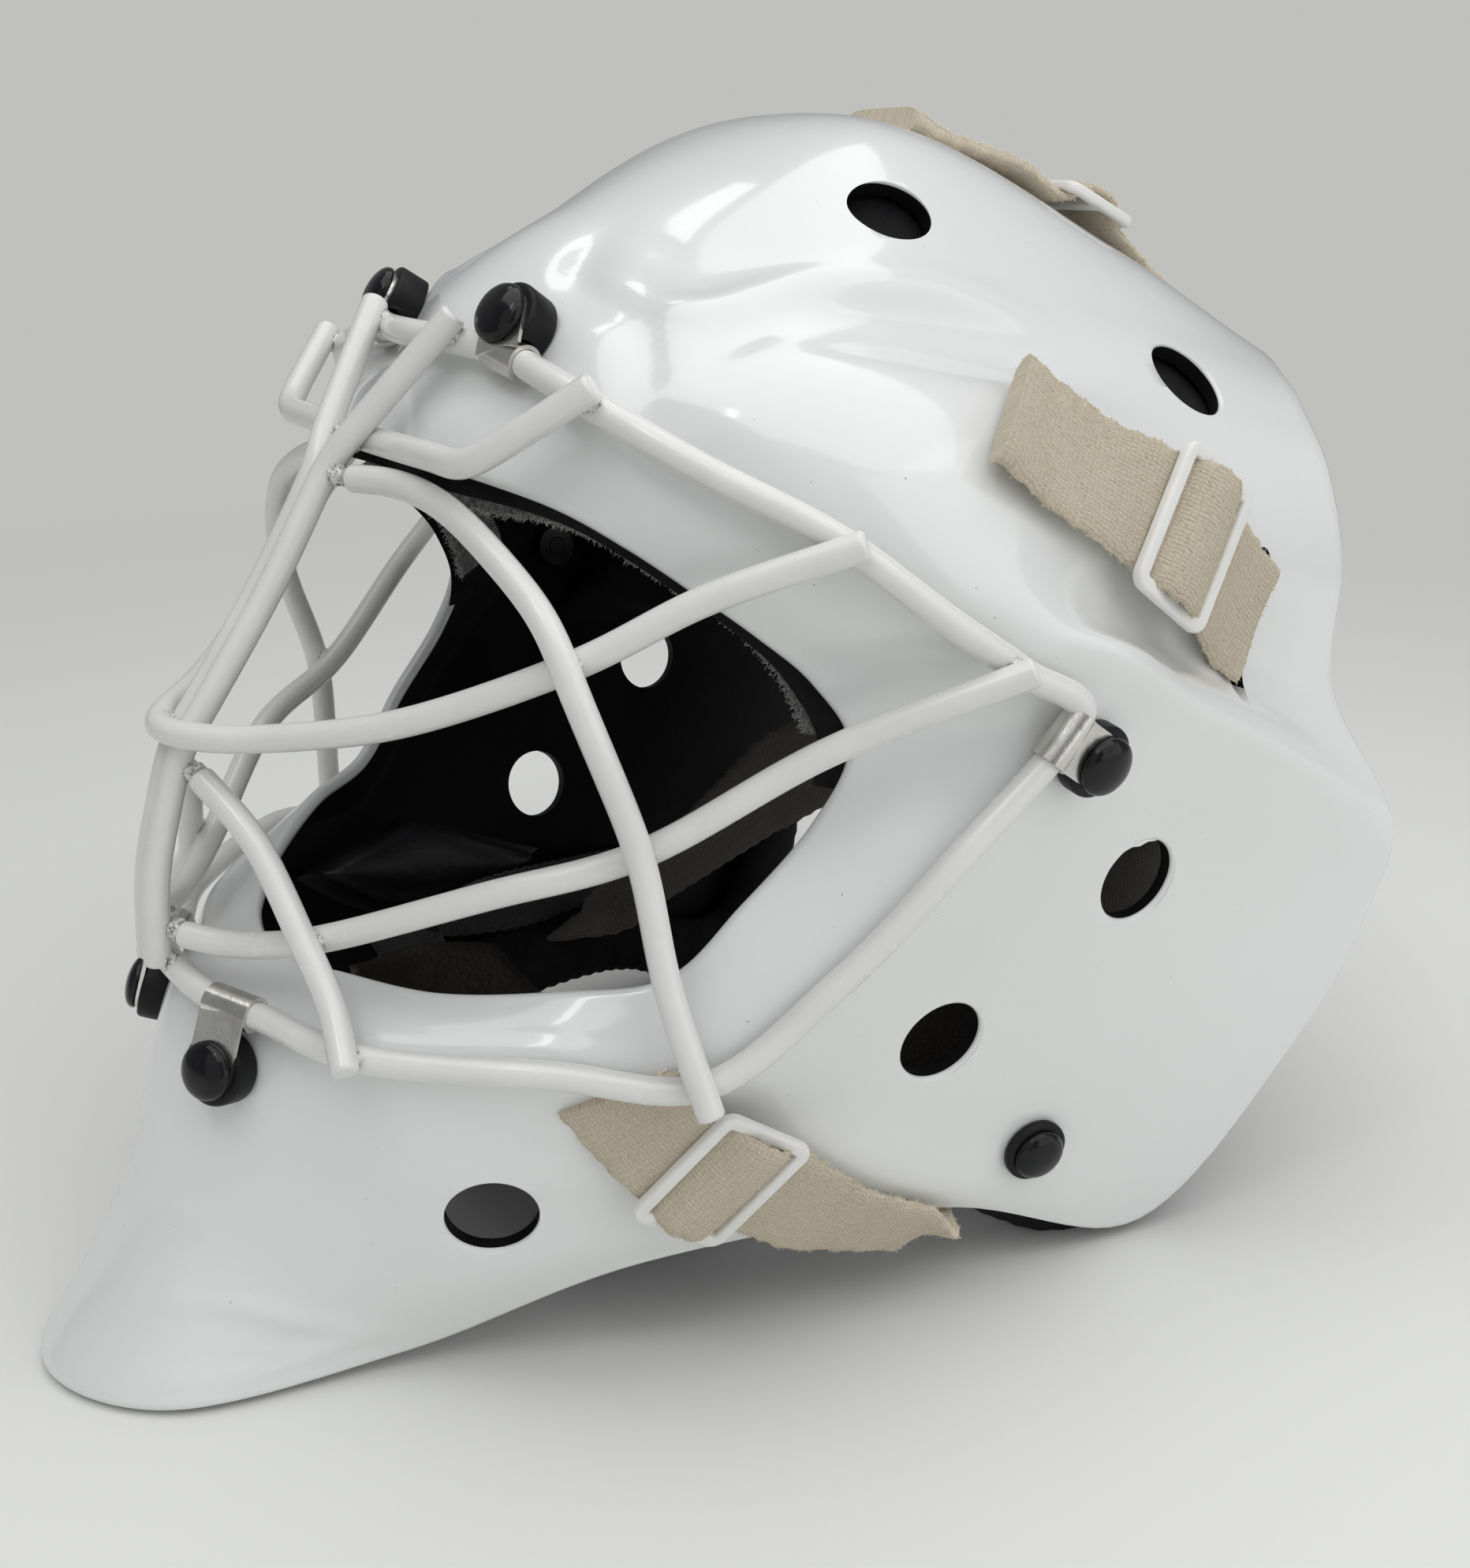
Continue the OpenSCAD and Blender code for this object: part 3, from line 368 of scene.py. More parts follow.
def grown(obj, tree, **values):
    """Runs a tree on an object and keeps the result as a plain mesh."""
    mod = obj.modifiers.new("grow", "NODES")
    mod.node_group = tree
    for item in tree.interface.items_tree:
        key = item.name.lower().replace(" ", "_")
        if item.item_type == "SOCKET" and item.in_out == "INPUT" and key in values:
            mod[item.identifier] = values[key]
    return applied(obj)


def drawn_line(data, points, closed=True):
    """Adds a line through points in millimetres to a curve."""
    line = data.splines.new("POLY")
    line.points.add(len(points) - 1)
    corners = np.c_[np.asarray(points) * MM, np.ones(len(points))]
    line.points.foreach_set("co", corners.astype(np.float32).ravel())
    line.use_cyclic_u = closed


def curve_object(name, points, closed=False):
    data = bpy.data.curves.new(name, "CURVE")
    data.dimensions = "3D"
    drawn_line(data, points, closed)
    return linked(name, data)


def points_object(name, seats):
    """A mesh of loose points, each with the turn of its seat."""
    obj = new_piece(name, [np.array(m.translation) / MM for m in seats], [], smooth=False)
    turn = obj.data.attributes.new("turn", "FLOAT_VECTOR", "POINT")
    turn.data.foreach_set("vector", np.array([m.to_euler() for m in seats], np.float32).ravel())
    return obj


# Finishes
class Finish:
    """A procedural material with its shader and short ways to add nodes."""

    def __init__(self, name, colour, roughness, **sockets):
        self.material = bpy.data.materials.new(name)
        self.material.use_nodes = True
        self.nodes = self.material.node_tree.nodes
        self.links = self.material.node_tree.links
        self.shader = self.nodes["Principled BSDF"]
        self.shader.inputs["Base Color"].default_value = (*colour, 1)
        self.shader.inputs["Roughness"].default_value = roughness
        for key, value in sockets.items():
            self.shader.inputs[SOCKET_NAMES[key]].default_value = value
        self.place = self.nodes.new("ShaderNodeTexCoord")
        self.normal = None

    def node(self, kind, **values):
        made = self.nodes.new(kind)
        for key, value in values.items():
            setattr(made, key, value)
        return made

    def mapped(self, source, scale=(1, 1, 1), turn=(0, 0, 0)):
        step = self.node("ShaderNodeMapping")
        step.inputs["Scale"].default_value = scale
        step.inputs["Rotation"].default_value = turn
        self.links.new(source, step.inputs["Vector"])
        return step.outputs["Vector"]

    def noise(self, scale, detail=3.0, rough=0.55, source=None):
        made = self.node("ShaderNodeTexNoise")
        made.inputs["Scale"].default_value = scale
        made.inputs["Detail"].default_value = detail
        made.inputs["Roughness"].default_value = rough
        self.links.new(source or self.place.outputs["Object"], made.inputs["Vector"])
        return made.outputs["Fac"]

    def ramp(self, source, *stops):
        made = self.node("ShaderNodeValToRGB")
        ramp = made.color_ramp
        for k, (at, colour) in enumerate(stops):
            stop = ramp.elements[k] if k < 2 else ramp.elements.new(at)
            stop.position = at
            stop.color = (*colour, 1) if len(colour) == 3 else colour
        self.links.new(source, made.inputs["Fac"])
        return made.outputs["Color"]

    def maths(self, way, a, b=None, c=None):
        made = self.node("ShaderNodeMath", operation=way)
        for k, value in enumerate((a, b, c)):
            if value is None:
                continue
            if isinstance(value, (int, float)):
                made.inputs[k].default_value = value
            else:
                self.links.new(value, made.inputs[k])
        return made.outputs["Value"]

    def mix(self, share, a, b):
        made = self.node("ShaderNodeMix", data_type="RGBA")
        self.links.new(share, made.inputs["Factor"])
        for key, value in (("A", a), ("B", b)):
            socket = [s for s in made.inputs if s.name == key and s.type == "RGBA"][0]
            if isinstance(value, tuple):
                socket.default_value = (*value, 1)
            else:
                self.links.new(value, socket)
        return [s for s in made.outputs if s.type == "RGBA"][0]

    def colour(self, source):
        self.links.new(source, self.shader.inputs["Base Color"])

    def roughness(self, source, low, high):
        span = self.node("ShaderNodeMapRange")
        span.inputs["To Min"].default_value = low
        span.inputs["To Max"].default_value = high
        self.links.new(source, span.inputs["Value"])
        self.links.new(span.outputs["Result"], self.shader.inputs["Roughness"])

    def clouds(self, scale, detail, dark, light, low=0.3, high=0.7, rough=0.55):
        """Colours the finish from dark to light in soft patches."""
        self.colour(self.ramp(self.noise(scale, detail, rough), (low, dark), (high, light)))

    def cells(self, scale, distance, strength):
        """Raises a pattern of small cells."""
        made = self.node("ShaderNodeTexVoronoi")
        made.inputs["Scale"].default_value = scale
        self.links.new(self.place.outputs["Object"], made.inputs["Vector"])
        self.bump(made.outputs["Distance"], distance, strength)

    def bump(self, height, distance, strength=1.0):
        made = self.node("ShaderNodeBump")
        made.inputs["Strength"].default_value = strength
        made.inputs["Distance"].default_value = distance
        self.links.new(height, made.inputs["Height"])
        if self.normal:
            self.links.new(self.normal, made.inputs["Normal"])
        self.normal = made.outputs["Normal"]
        self.links.new(self.normal, self.shader.inputs["Normal"])


SOCKET_NAMES = {
    "coat": "Coat Weight", "coat_roughness": "Coat Roughness", "metallic": "Metallic",
    "sheen": "Sheen Weight", "sheen_roughness": "Sheen Roughness", "specular": "Specular IOR Level",
    "subsurface": "Subsurface Weight", "subsurface_scale": "Subsurface Scale"}


# White gloss over a moulded composite, with dust specks and hairline scuffs
f = Finish("shell_gloss", (0.78, 0.79, 0.79), 0.2, coat=0.7, coat_roughness=0.06, specular=0.5)
specks = f.ramp(f.noise(900, 1), (0.0, (0, 0, 0)), (0.17, (0, 0, 0)), (0.185, (1, 1, 1)))
cloud = f.noise(9, 3)
tone = f.ramp(cloud, (0.3, (0.76, 0.77, 0.76)), (0.7, (0.8, 0.81, 0.81)))
f.colour(f.mix(specks, (0.3, 0.29, 0.27), tone))
f.roughness(f.noise(160, 4), 0.16, 0.26)
f.bump(f.noise(30, 2), 0.0012, 0.05)
f.bump(f.noise(520, 2), 0.00006, 0.5)
SHELL = f.material

# White powder coat on wire, thick and slightly wavy, dark where welds left gaps
f = Finish("cage_coat", (0.74, 0.74, 0.72), 0.26, coat=0.35, coat_roughness=0.12)
weld = f.node("ShaderNodeAttribute", attribute_name="weld")
grime = f.maths("MULTIPLY", weld.outputs["Fac"], f.noise(1500, 3, 0.7))
dark = f.ramp(grime, (0.3, (0, 0, 0)), (0.46, (1, 1, 1)))
tone = f.ramp(f.noise(60, 3), (0.3, (0.72, 0.72, 0.7)), (0.7, (0.77, 0.77, 0.75)))
f.colour(f.mix(dark, tone, (0.05, 0.045, 0.04)))
f.roughness(f.noise(300, 3), 0.22, 0.3)
f.bump(f.noise(90, 2), 0.0003, 0.06)
f.bump(f.noise(1800, 1), 0.00004, 0.2)
CAGE = f.material

# Rolled strip steel with fine drawn lines and a little staining
f = Finish("clip_steel", (0.55, 0.53, 0.5), 0.24, metallic=1.0)
lines = f.noise(900, 2, 0.6, f.mapped(f.place.outputs["Object"], (1, 1, 0.08), (0.4, 0.3, 0.6)))
f.clouds(120, 3, (0.56, 0.54, 0.5), (0.76, 0.75, 0.72))
f.roughness(lines, 0.12, 0.32)
f.bump(lines, 0.00008, 0.5)
STEEL = f.material

# Dull black rubber
f = Finish("washer_rubber", (0.006, 0.006, 0.007), 0.5, specular=0.2)
f.roughness(f.noise(700, 3), 0.34, 0.55)
f.bump(f.noise(1400, 2), 0.0001, 0.4)
f.clouds(90, 3, (0.004, 0.004, 0.005), (0.012, 0.012, 0.013))
RUBBER = f.material

# Black enamelled screws, with a worn film on the dome
f = Finish("screw_enamel", (0.006, 0.006, 0.007), 0.16, specular=0.3)
f.clouds(260, 4, (0.004, 0.004, 0.005), (0.014, 0.014, 0.014), low=0.45, high=0.8)
f.roughness(f.noise(420, 4), 0.07, 0.2)
f.bump(f.noise(300, 3), 0.0001, 0.1)
SCREW = f.material

# Black closed-cell foam under a thin skin
f = Finish("pad_foam", (0.008, 0.008, 0.009), 0.78, specular=0.12)
f.cells(900, 0.0003, 0.5)
f.clouds(60, 4, (0.004, 0.004, 0.005), (0.014, 0.014, 0.015))
FOAM = f.material


def leather_finish(name, dark, light):
    """Soft smooth-grain leather."""
    f = Finish(name, dark, 0.38, specular=0.45)
    f.clouds(40, 4, dark, light, high=0.72)
    f.roughness(f.noise(200, 4), 0.3, 0.52)
    f.bump(f.noise(26, 4), 0.0015, 0.35)
    f.cells(620, 0.00018, 0.55)
    return f.material


# Brushed grey terry of the sweatband
f = Finish("sweatband_terry", (0.16, 0.16, 0.155), 0.95, sheen=0.5, sheen_roughness=0.6, specular=0.1)
f.clouds(700, 4, (0.07, 0.07, 0.068), (0.33, 0.33, 0.32), low=0.32, high=0.66, rough=0.7)
f.cells(850, 0.0009, 0.9)
f.bump(f.noise(300, 3), 0.0012, 0.5)
TERRY = f.material


def knit_finish(name, dark, light, rib=5.6):
    """Ribbed knitted elastic: wales along the strap, courses across them, and loose fluff. It reads
    the piece's own UV map, in centimetres along and across."""
    f = Finish(name, light, 0.9, sheen=0.35, sheen_roughness=0.5, specular=0.12)
    uv = f.place.outputs["UV"]
    split = f.node("ShaderNodeSeparateXYZ")
    f.links.new(uv, split.inputs["Vector"])
    wander = f.noise(14, 2, 0.5, uv)
    across = f.maths("MULTIPLY_ADD", split.outputs["Y"], rib * 2 * math.pi, f.maths("MULTIPLY", wander, 3.0))
    wale = f.maths("ABSOLUTE", f.maths("SINE", across))
    lean = f.maths("MULTIPLY", f.maths("SINE", f.maths("MULTIPLY", across, 2.0)), 0.9)
    along = f.maths("ADD", f.maths("MULTIPLY", split.outputs["X"], rib * 1.5 * 2 * math.pi), lean)
    course = f.maths("MULTIPLY_ADD", f.maths("SINE", along), 0.5, 0.5)
    loop = f.maths("MULTIPLY", f.maths("POWER", wale, 0.6), f.maths("MULTIPLY_ADD", course, 0.6, 0.4))
    fluff = f.noise(17, 6, 0.8, uv)
    height = f.maths("ADD", f.maths("MULTIPLY", loop, 0.4), f.maths("MULTIPLY", fluff, 0.85))
    f.colour(f.ramp(height, (0.15, dark), (0.72, light)))
    f.bump(height, 0.0011, 1.0)
    f.bump(f.noise(4.0, 2, 0.5, uv), 0.0015, 0.3)
    return f.material


def thread_finish(name, colour):
    f = Finish(name, colour, 0.75, sheen=0.3, specular=0.2)
    f.bump(f.noise(2600, 2), 0.0002, 0.5)
    return f.material


# Milky moulded plastic
f = Finish("slider_plastic", (0.8, 0.8, 0.78), 0.34, subsurface=0.12, subsurface_scale=0.002,
           specular=0.45)
f.clouds(80, 3, (0.77, 0.77, 0.74), (0.83, 0.83, 0.82))
f.roughness(f.noise(500, 3), 0.28, 0.46)
f.bump(f.noise(900, 2), 0.00008, 0.4)
SLIDER = f.material

# White moulded plastic of the back plate
f = Finish("backplate_plastic", (0.76, 0.76, 0.75), 0.3, coat=0.3, coat_roughness=0.12)
f.clouds(20, 3, (0.73, 0.73, 0.72), (0.78, 0.78, 0.77))
f.roughness(f.noise(240, 4), 0.22, 0.4)
f.bump(f.noise(700, 2), 0.0001, 0.4)
PLATE = f.material

# Plain woven black webbing, from the piece's own UV map
f = Finish("sling_webbing", (0.012, 0.012, 0.012), 0.8, sheen=0.2, specular=0.2)
split = f.node("ShaderNodeSeparateXYZ")
f.links.new(f.place.outputs["UV"], split.inputs["Vector"])
weft = f.maths("SINE", f.maths("MULTIPLY", split.outputs["X"], 62.0))
warp = f.maths("SINE", f.maths("MULTIPLY", split.outputs["Y"], 75.0))
weave = f.maths("MULTIPLY_ADD", f.maths("MULTIPLY", weft, warp), 0.5, 0.5)
f.colour(f.ramp(weave, (0.2, (0.006, 0.006, 0.006)), (0.85, (0.032, 0.032, 0.033))))
f.bump(weave, 0.0004, 0.8)
WEBBING = f.material


JAW_LEATHER = leather_finish("jaw_leather", (0.006, 0.006, 0.008), (0.03, 0.03, 0.034))
CUP_LEATHER = leather_finish("cup_leather", (0.006, 0.005, 0.004), (0.022, 0.017, 0.013))
KNIT = knit_finish("strap_knit", (0.62, 0.48, 0.3), (1.0, 0.88, 0.68))
# Painted shade: the elastics are the same beige knit as the straps, coloured dark for the shade they lie in
# inside the mask
KNIT_IN_PAINTED_SHADE = knit_finish("elastic_knit", (0.035, 0.03, 0.022), (0.13, 0.11, 0.085))
FLEECE_THREAD = thread_finish("fleece_thread", (0.5, 0.49, 0.46))
THREAD = thread_finish("strap_thread", (0.95, 0.84, 0.64))


# Shell
def boolean(obj, cutter):
    mod = obj.modifiers.new("cut", "BOOLEAN")
    mod.operation = "DIFFERENCE"
    mod.solver = "MANIFOLD"
    mod.object = cutter
    made = applied(obj)
    bpy.data.objects.remove(cutter)
    return made


def bore_cutter(name, place, radius, edge, narrow=1.0):
    """A cutter that also rounds the hole's outer edge; narrow below 1 makes the hole oval."""
    p, n = skin(*place), outward(*place)
    profile = [(0, -9), (radius, -9), (radius, -edge)]
    profile += [(radius + edge * (1 - math.cos(a)), -edge + edge * math.sin(a)) for a in (0.4, 0.8, 1.2)]
    profile += [(radius + edge, 0.0), (radius + edge + 0.4, 0.6), (radius + edge + 0.4, 7), (0, 7)]
    return lathe(name, profile, 72, seat_matrix(p, n, along_way(*place)) @ Matrix.Diagonal((narrow, 1, 1, 1)))


def slot_cutter(name, place):
    """A long cutter with round ends."""
    u, v, turn = place
    ring = []
    r = SLOT_H / 2
    for end in (1, -1):
        for k in range(13):
            t = math.pi * k / 12 - math.pi / 2
            ring.append((end * (SLOT_L / 2 - r + r * math.cos(t)), end * r * math.sin(t)))
    size = len(ring)
    points = [(x, y, z) for z in (-9, 7) for x, y in ring]
    faces = [tuple(range(size)), tuple(range(2 * size - 1, size - 1, -1))]
    faces += [(k, (k + 1) % size, size + (k + 1) % size, size + k) for k in range(size)]
    obj = new_piece(name, points, faces)
    n = outward(u, v)
    obj.data.transform(seat_matrix(skin(u, v), n, np.cross(n, across(u, v, turn))))
    return tidy_mesh(obj)


def across(u, v, turn):
    a = round_way(u, v)
    b = np.cross(outward(u, v), a)
    return a * math.cos(math.radians(turn)) + b * math.sin(math.radians(turn))


VENT_R = 9.5
SLOT_L, SLOT_H = 32, 5
TOP_SLOT = (0, 6.72, 0)
SIDE_SLOT = (5.6, 5.86, -23)
STEPS_ROUND, STEPS_ALONG, EDGE_STEPS = 12, 14, 5


def shell_points():
    """Closed rings round the wall's section: outer face, rear edge, inner face, eye edge."""
    count = 2 * ROW_END * STEPS_ROUND
    u = np.arange(count) / STEPS_ROUND
    radius = WALL / 2
    first = radius / (np.linalg.norm(skin(u, 0.05) - skin(u, 0.0), axis=-1) / 0.05)
    last = radius / (np.linalg.norm(skin(u, 7.0) - skin(u, 6.95), axis=-1) / 0.05)
    share = np.linspace(0, 1, STATION_END * STEPS_ALONG + 1)
    v = first[:, None] + (STATION_END - first - last)[:, None] * share
    uu = np.repeat(u[:, None], len(share), 1)
    n = outward(uu, v)
    outer = skin(uu, v)
    outer = outer + n * relief(outer)[..., None]
    inner = outer - n * WALL
    edges = []
    turns = np.pi * np.arange(1, EDGE_STEPS + 1)[:, None] / (EDGE_STEPS + 1)
    for k, side in ((-1, 1), (0, -1)):
        middle, way = (outer[:, k] + inner[:, k]) / 2, along_way(u, v[:, k])
        bow = n[:, None, k] * np.cos(turns) + way[:, None] * np.sin(turns)
        edges.append(middle[:, None] + side * radius * bow)
    return np.concatenate([outer, edges[0], inner[:, ::-1], edges[1]], 1)


# Matt black paint on the inner face of the shell, also used as painted shade on the walls of its holes
f = Finish("shell_inner_black", (0.005, 0.005, 0.006), 0.6, specular=0.12)
f.clouds(50, 4, (0.003, 0.003, 0.0035), (0.008, 0.008, 0.009))
f.bump(f.noise(500, 3), 0.0003, 0.4)
INNER_BLACK_AND_HOLE_SHADE = f.material


def ring_faces(count, size):
    """Faces of count rings of size points each, closed both ways."""
    faces = []
    for k in range(count):
        a, b = k * size, (k + 1) % count * size
        faces += [(a + j, a + (j + 1) % size, b + (j + 1) % size, b + j) for j in range(size)]
    return faces


def paint_shade_in_bores(obj):
    """Paints shade into the holes: gives their walls the inner black from just under their edge."""
    count = len(obj.data.polygons)
    centre, normal, index = np.zeros(3 * count), np.zeros(3 * count), np.zeros(count, np.int32)
    obj.data.polygons.foreach_get("center", centre)
    obj.data.polygons.foreach_get("normal", normal)
    obj.data.polygons.foreach_get("material_index", index)
    centre, normal = centre.reshape(-1, 3) / MM, normal.reshape(-1, 3)
    holes = [(place, VENT_R + 0.6) for place in VENTS] + [(SIDE_SLOT, 17), (TOP_SLOT, 17)]
    for place, reach in holes:
        for side in (1, -1):
            flip = np.array([side, 1, 1])
            away = centre * flip - skin(*place[:2])
            n = outward(*place[:2])
            depth = -away @ n
            wall = (np.linalg.norm(away + depth[:, None] * n, axis=1) < reach) & (np.abs(depth) < 12)
            wall &= (np.abs((normal * flip) @ n) < 0.6) & (depth > 0.9)
            index[wall] = 1
    obj.data.polygons.foreach_set("material_index", index)


# Crests and hollows pressed into the outer face: row and station, lift, width
CRESTS = [
    ([(0.9, 3.5), (1.51, 3.43), (1.84, 3.62), (1.92, 4.05), (2.19, 4.75), (2.22, 5.19), (2.4, 5.6)],
     2.2, 5),
    ([(1.9, 2.7), (2.45, 3.05), (2.62, 3.46), (2.68, 3.91), (2.66, 4.64), (2.74, 5.1), (2.89, 5.4)],
     -3.2, 11),
    ([(0.49, 3.9), (0.81, 3.5), (1.21, 3.31), (1.55, 3.33), (1.95, 2.94), (2.18, 2.49), (2.41, 2.2)],
     -1.6, 5),
    ([(5.6, 2.9), (6.5, 3.2), (6.9, 3.93), (6.91, 5.04), (6.95, 6.2), (7.0, 6.7)], 1.2, 6),
    ([(14.11, 5.83), (13.53, 5.76), (13.16, 6.12), (12.97, 6.5)], 1.0, 2.5),
    ([(12.97, 6.5), (13.29, 6.56), (13.67, 6.67), (14.1, 6.7)], 1.0, 2.5)]


def relief(points):
    """How far each point of the outer face stands up or in for the pressed lines."""
    folded = points.copy()
    folded[..., 0] = np.abs(folded[..., 0])
    total = np.zeros(points.shape[:-1])
    for line, lift, width in CRESTS:
        way = eased(smooth_path(np.array([skin(u, v) for u, v in line]), 12), 2.0, 4)
        fade = np.sin(np.linspace(0, np.pi, len(way))) ** 0.6
        best = np.zeros(total.shape)
        for p, share in zip(way, fade):
            gap = np.sum((folded - p) ** 2, -1)
            best = np.maximum(best, share * np.exp(-gap / width ** 2))
        total += lift * best
    return total


def make_shell():
    rings = shell_points()
    count, size = rings.shape[:2]
    obj = new_piece("shell_moulding", rings.reshape(-1, 3), ring_faces(count, size))
    obj.data.materials.append(SHELL)
    obj.data.materials.append(INNER_BLACK_AND_HOLE_SHADE)
    on_face = STATION_END * STEPS_ALONG + 1
    first, end = on_face + EDGE_STEPS, 2 * on_face + EDGE_STEPS - 1
    inner = [first <= k % size < end for k in range(count * size)]
    obj.data.polygons.foreach_set("material_index", np.array(inner, np.int32))
    tidy_mesh(obj)
    cutters = []
    for place in VENTS:
        cutters.append(bore_cutter("vent", place, VENT_R, 0.8, 0.8 if place[0] < 2 else 1.0))
    for place in CLIP_SCREWS + [SLING_SCREW]:
        cutters.append(bore_cutter("screw_hole", place, 2.65, 0.3))
    cutters.append(slot_cutter("side_slot", SIDE_SLOT))
    for cutter in list(cutters):
        cutters.append(flipped(cutter, cutter.name + "_right"))
    cutters.append(slot_cutter("top_slot", TOP_SLOT))
    obj = boolean(obj, joined("shell_cutters", cutters))
    paint_shade_in_bores(obj)
    sharpen(obj, 40)
    obj.name = "shell_moulding"
    return obj


shell = make_shell()
in_place_of(shell, "mask", "shell")


# Cage
WIRE = wire_tree()
SET = scatter_tree()


def mirrored(path):
    return [p * FLIP for p in path]


def rim_wire(u):
    return spot(u, RIM_STATION, WIRE_STAND + WIRE_R)


def over_rim(u):
    return spot(u, RIM_STATION, WIRE_STAND + WIRE_R + CROSS_STEP)


def over_end(u, start):
    return over_rim(u) + unit(over_rim(u) - start) * BAR_OVERRUN


def over_bar(p, way):
    return fit(p) + unit(way) * CROSS_STEP


def beside(p, x):
    return np.array([x, p[1], p[2]])


BAR_HALF = 0.45 * 2 * WIRE_R
GUARD_HALF = 2 * WIRE_R * 1.05
centre_guard, centre_merge = fit([0, -89, 190]), fit([0, -92.5, 184])
centre_start = beside(centre_guard, GUARD_HALF)
centre_path = [over_end(0.62, centre_start), over_rim(0.62), centre_start]
centre_path += [beside(p, BAR_HALF) for p in (
    centre_merge, fit([0, -106.5, 161]), fit([0, -122, 139]), fit([0, -127, 132]), fit([0, -130.5, 122]),
    fit([0, -135, 106]), over_rim(14.8), over_end(14.8, fit([0, -135, 106])))]
guard_corner, guard_middle = fit([47, -82.3, 190]), fit([0, -83, 189.5])
guard_path = [over_end(2.05, guard_corner), over_rim(2.05),
              over_rim(2.05) + (guard_corner - over_rim(2.05)) * 0.75]
guard_path += [guard_corner + (guard_middle - guard_corner) * t for t in (0.05, 0.3)]
guard_path += [guard_middle] + mirrored(guard_path[::-1])
UPPER_CROSS, LOWER_CROSS, ARCH_CROSS = [71, -74.5, 157.5], [78, -65, 121.5], [34, -112.5, 99]
over_upper = over_bar(UPPER_CROSS, [0.66, -0.74, 0.12])
over_lower = over_bar(LOWER_CROSS, [0.83, -0.55, 0.02])
over_arch = over_bar(ARCH_CROSS, [0.51, -0.85, 0.15])
upper_path = [over_end(4.15, fit([86, -57, 170])), over_rim(4.15), fit([86, -56.5, 170]), fit(UPPER_CROSS),
              fit([46, -97, 144]), fit([24, -114.5, 138]), fit([11, -125.5, 136.5])]
upper_path += [fit([0, -130, 136.5])] + mirrored(upper_path[::-1])
eye_path = [np.array([GUARD_HALF + BAR_HALF, centre_merge[1] + 3, centre_merge[2] - 1]),
            fit([19, -85, 183.5]), fit([36, -82, 181]), fit([57, -80.8, 173.5]), fit([70, -78.6, 165]),
            over_upper, fit([80.5, -74.5, 142]), over_lower, fit([87, -66, 98]), over_rim(10),
            over_end(10, fit([87, -66, 98]))]
lower_path = [over_end(5.95, fit([96, -37, 141])), over_rim(5.95), fit([96, -37, 141]), fit(LOWER_CROSS),
              fit([62, -89.4, 113]), fit(ARCH_CROSS), fit([18, -124.5, 94.5]),
              beside(fit([0, -132.5, 95]), BAR_HALF + CROSS_STEP)]
arch_path = [beside(fit([0, -125.5, 127.5]), BAR_HALF + CROSS_STEP), fit([22, -120, 117]), over_arch,
             fit([45, -115.5, 90]), over_rim(12.05), over_end(12.05, fit([45, -115.5, 90]))]


# Each weld: the middle of the two wires' meeting
def meeting(a, b):
    return (np.asarray(a) + np.asarray(b)) / 2


half_welds = [meeting(over_rim(u), rim_wire(u)) for u in (0.62, 2.05, 4.15, 5.95, 10, 12.05)]
half_welds.append(meeting(beside(over_rim(14.8), BAR_HALF), rim_wire(14.8)))
half_welds += [meeting(fit(UPPER_CROSS), over_upper), meeting(fit(LOWER_CROSS), over_lower),
               meeting(fit(ARCH_CROSS), over_arch)]
half_welds += [meeting(p, beside(p, BAR_HALF)) for p in (lower_path[-1], arch_path[0])]
half_welds += [meeting(eye_path[0], beside(centre_merge, BAR_HALF)), fit([2.6, -128.3, 136.5]),
               fit([3.5, -86.2, 189.6])]
welds = np.array(half_welds + mirrored(half_welds))


def bar_piece(name, path, softness=8, closed=False):
    """One cage wire with its bends softened and its cut ends rounded."""
    points = np.asarray(path) if closed else eased(smooth_path(path, 10), 1.5, softness)
    obj = grown(curve_object(name, points, closed), WIRE, wire_radius=WIRE_R * MM, sides=24, finish=CAGE)
    if not closed:
        bm = bmesh.new()
        bm.from_mesh(obj.data)
        rims = [e for e in bm.edges if any(len(f.verts) > 4 for f in e.link_faces)]
        bmesh.ops.bevel(bm, geom=rims, offset=0.9 * MM, segments=3, profile=0.5, affect="EDGES")
        bm.to_mesh(obj.data)
        bm.free()
    sharpen(obj, 60)
    return obj


def with_welds(obj):
    """Marks how near each point is to a weld, for the coat's dark gaps."""
    co = np.zeros(len(obj.data.vertices) * 3)
    obj.data.vertices.foreach_get("co", co)
    near = np.min(np.linalg.norm(co.reshape(-1, 1, 3) / MM - welds[None], axis=-1), 1)
    mark = obj.data.attributes.new("weld", "FLOAT", "POINT")
    mark.data.foreach_set("value", np.clip(1.35 - near / 3.4, 0, 1).astype(np.float32))
    return obj


rim_u = np.arange(0, 2 * ROW_END, 0.125)
bars = [("cage_perimeter", [("rim", [rim_wire(x) for x in rim_u], True)]),
        ("cage_centre_bars", [("left", centre_path, False), ("right", mirrored(centre_path), False)]),
        ("cage_brow_guard", [("guard", guard_path, False)]),
        ("cage_upper_bar", [("hoop", upper_path, False)])]
for label, path in (("eye_loop", eye_path), ("lower_bar", lower_path), ("mouth_arch", arch_path)):
    bars.append(("cage_%s_left" % label, [(label, path, False)]))
    bars.append(("cage_%s_right" % label, [(label, mirrored(path), False)]))
for node, paths in bars:
    softness = 30 if "eye_loop" in node else 8
    parts = [bar_piece(node + "_" + label, path, softness, closed) for label, path, closed in paths]
    wire = joined(node + "_wire", parts) if len(parts) > 1 else parts[0]
    wire.name = node + "_wire"
    with_welds(wire)
    in_place_of(wire, "mask", node)


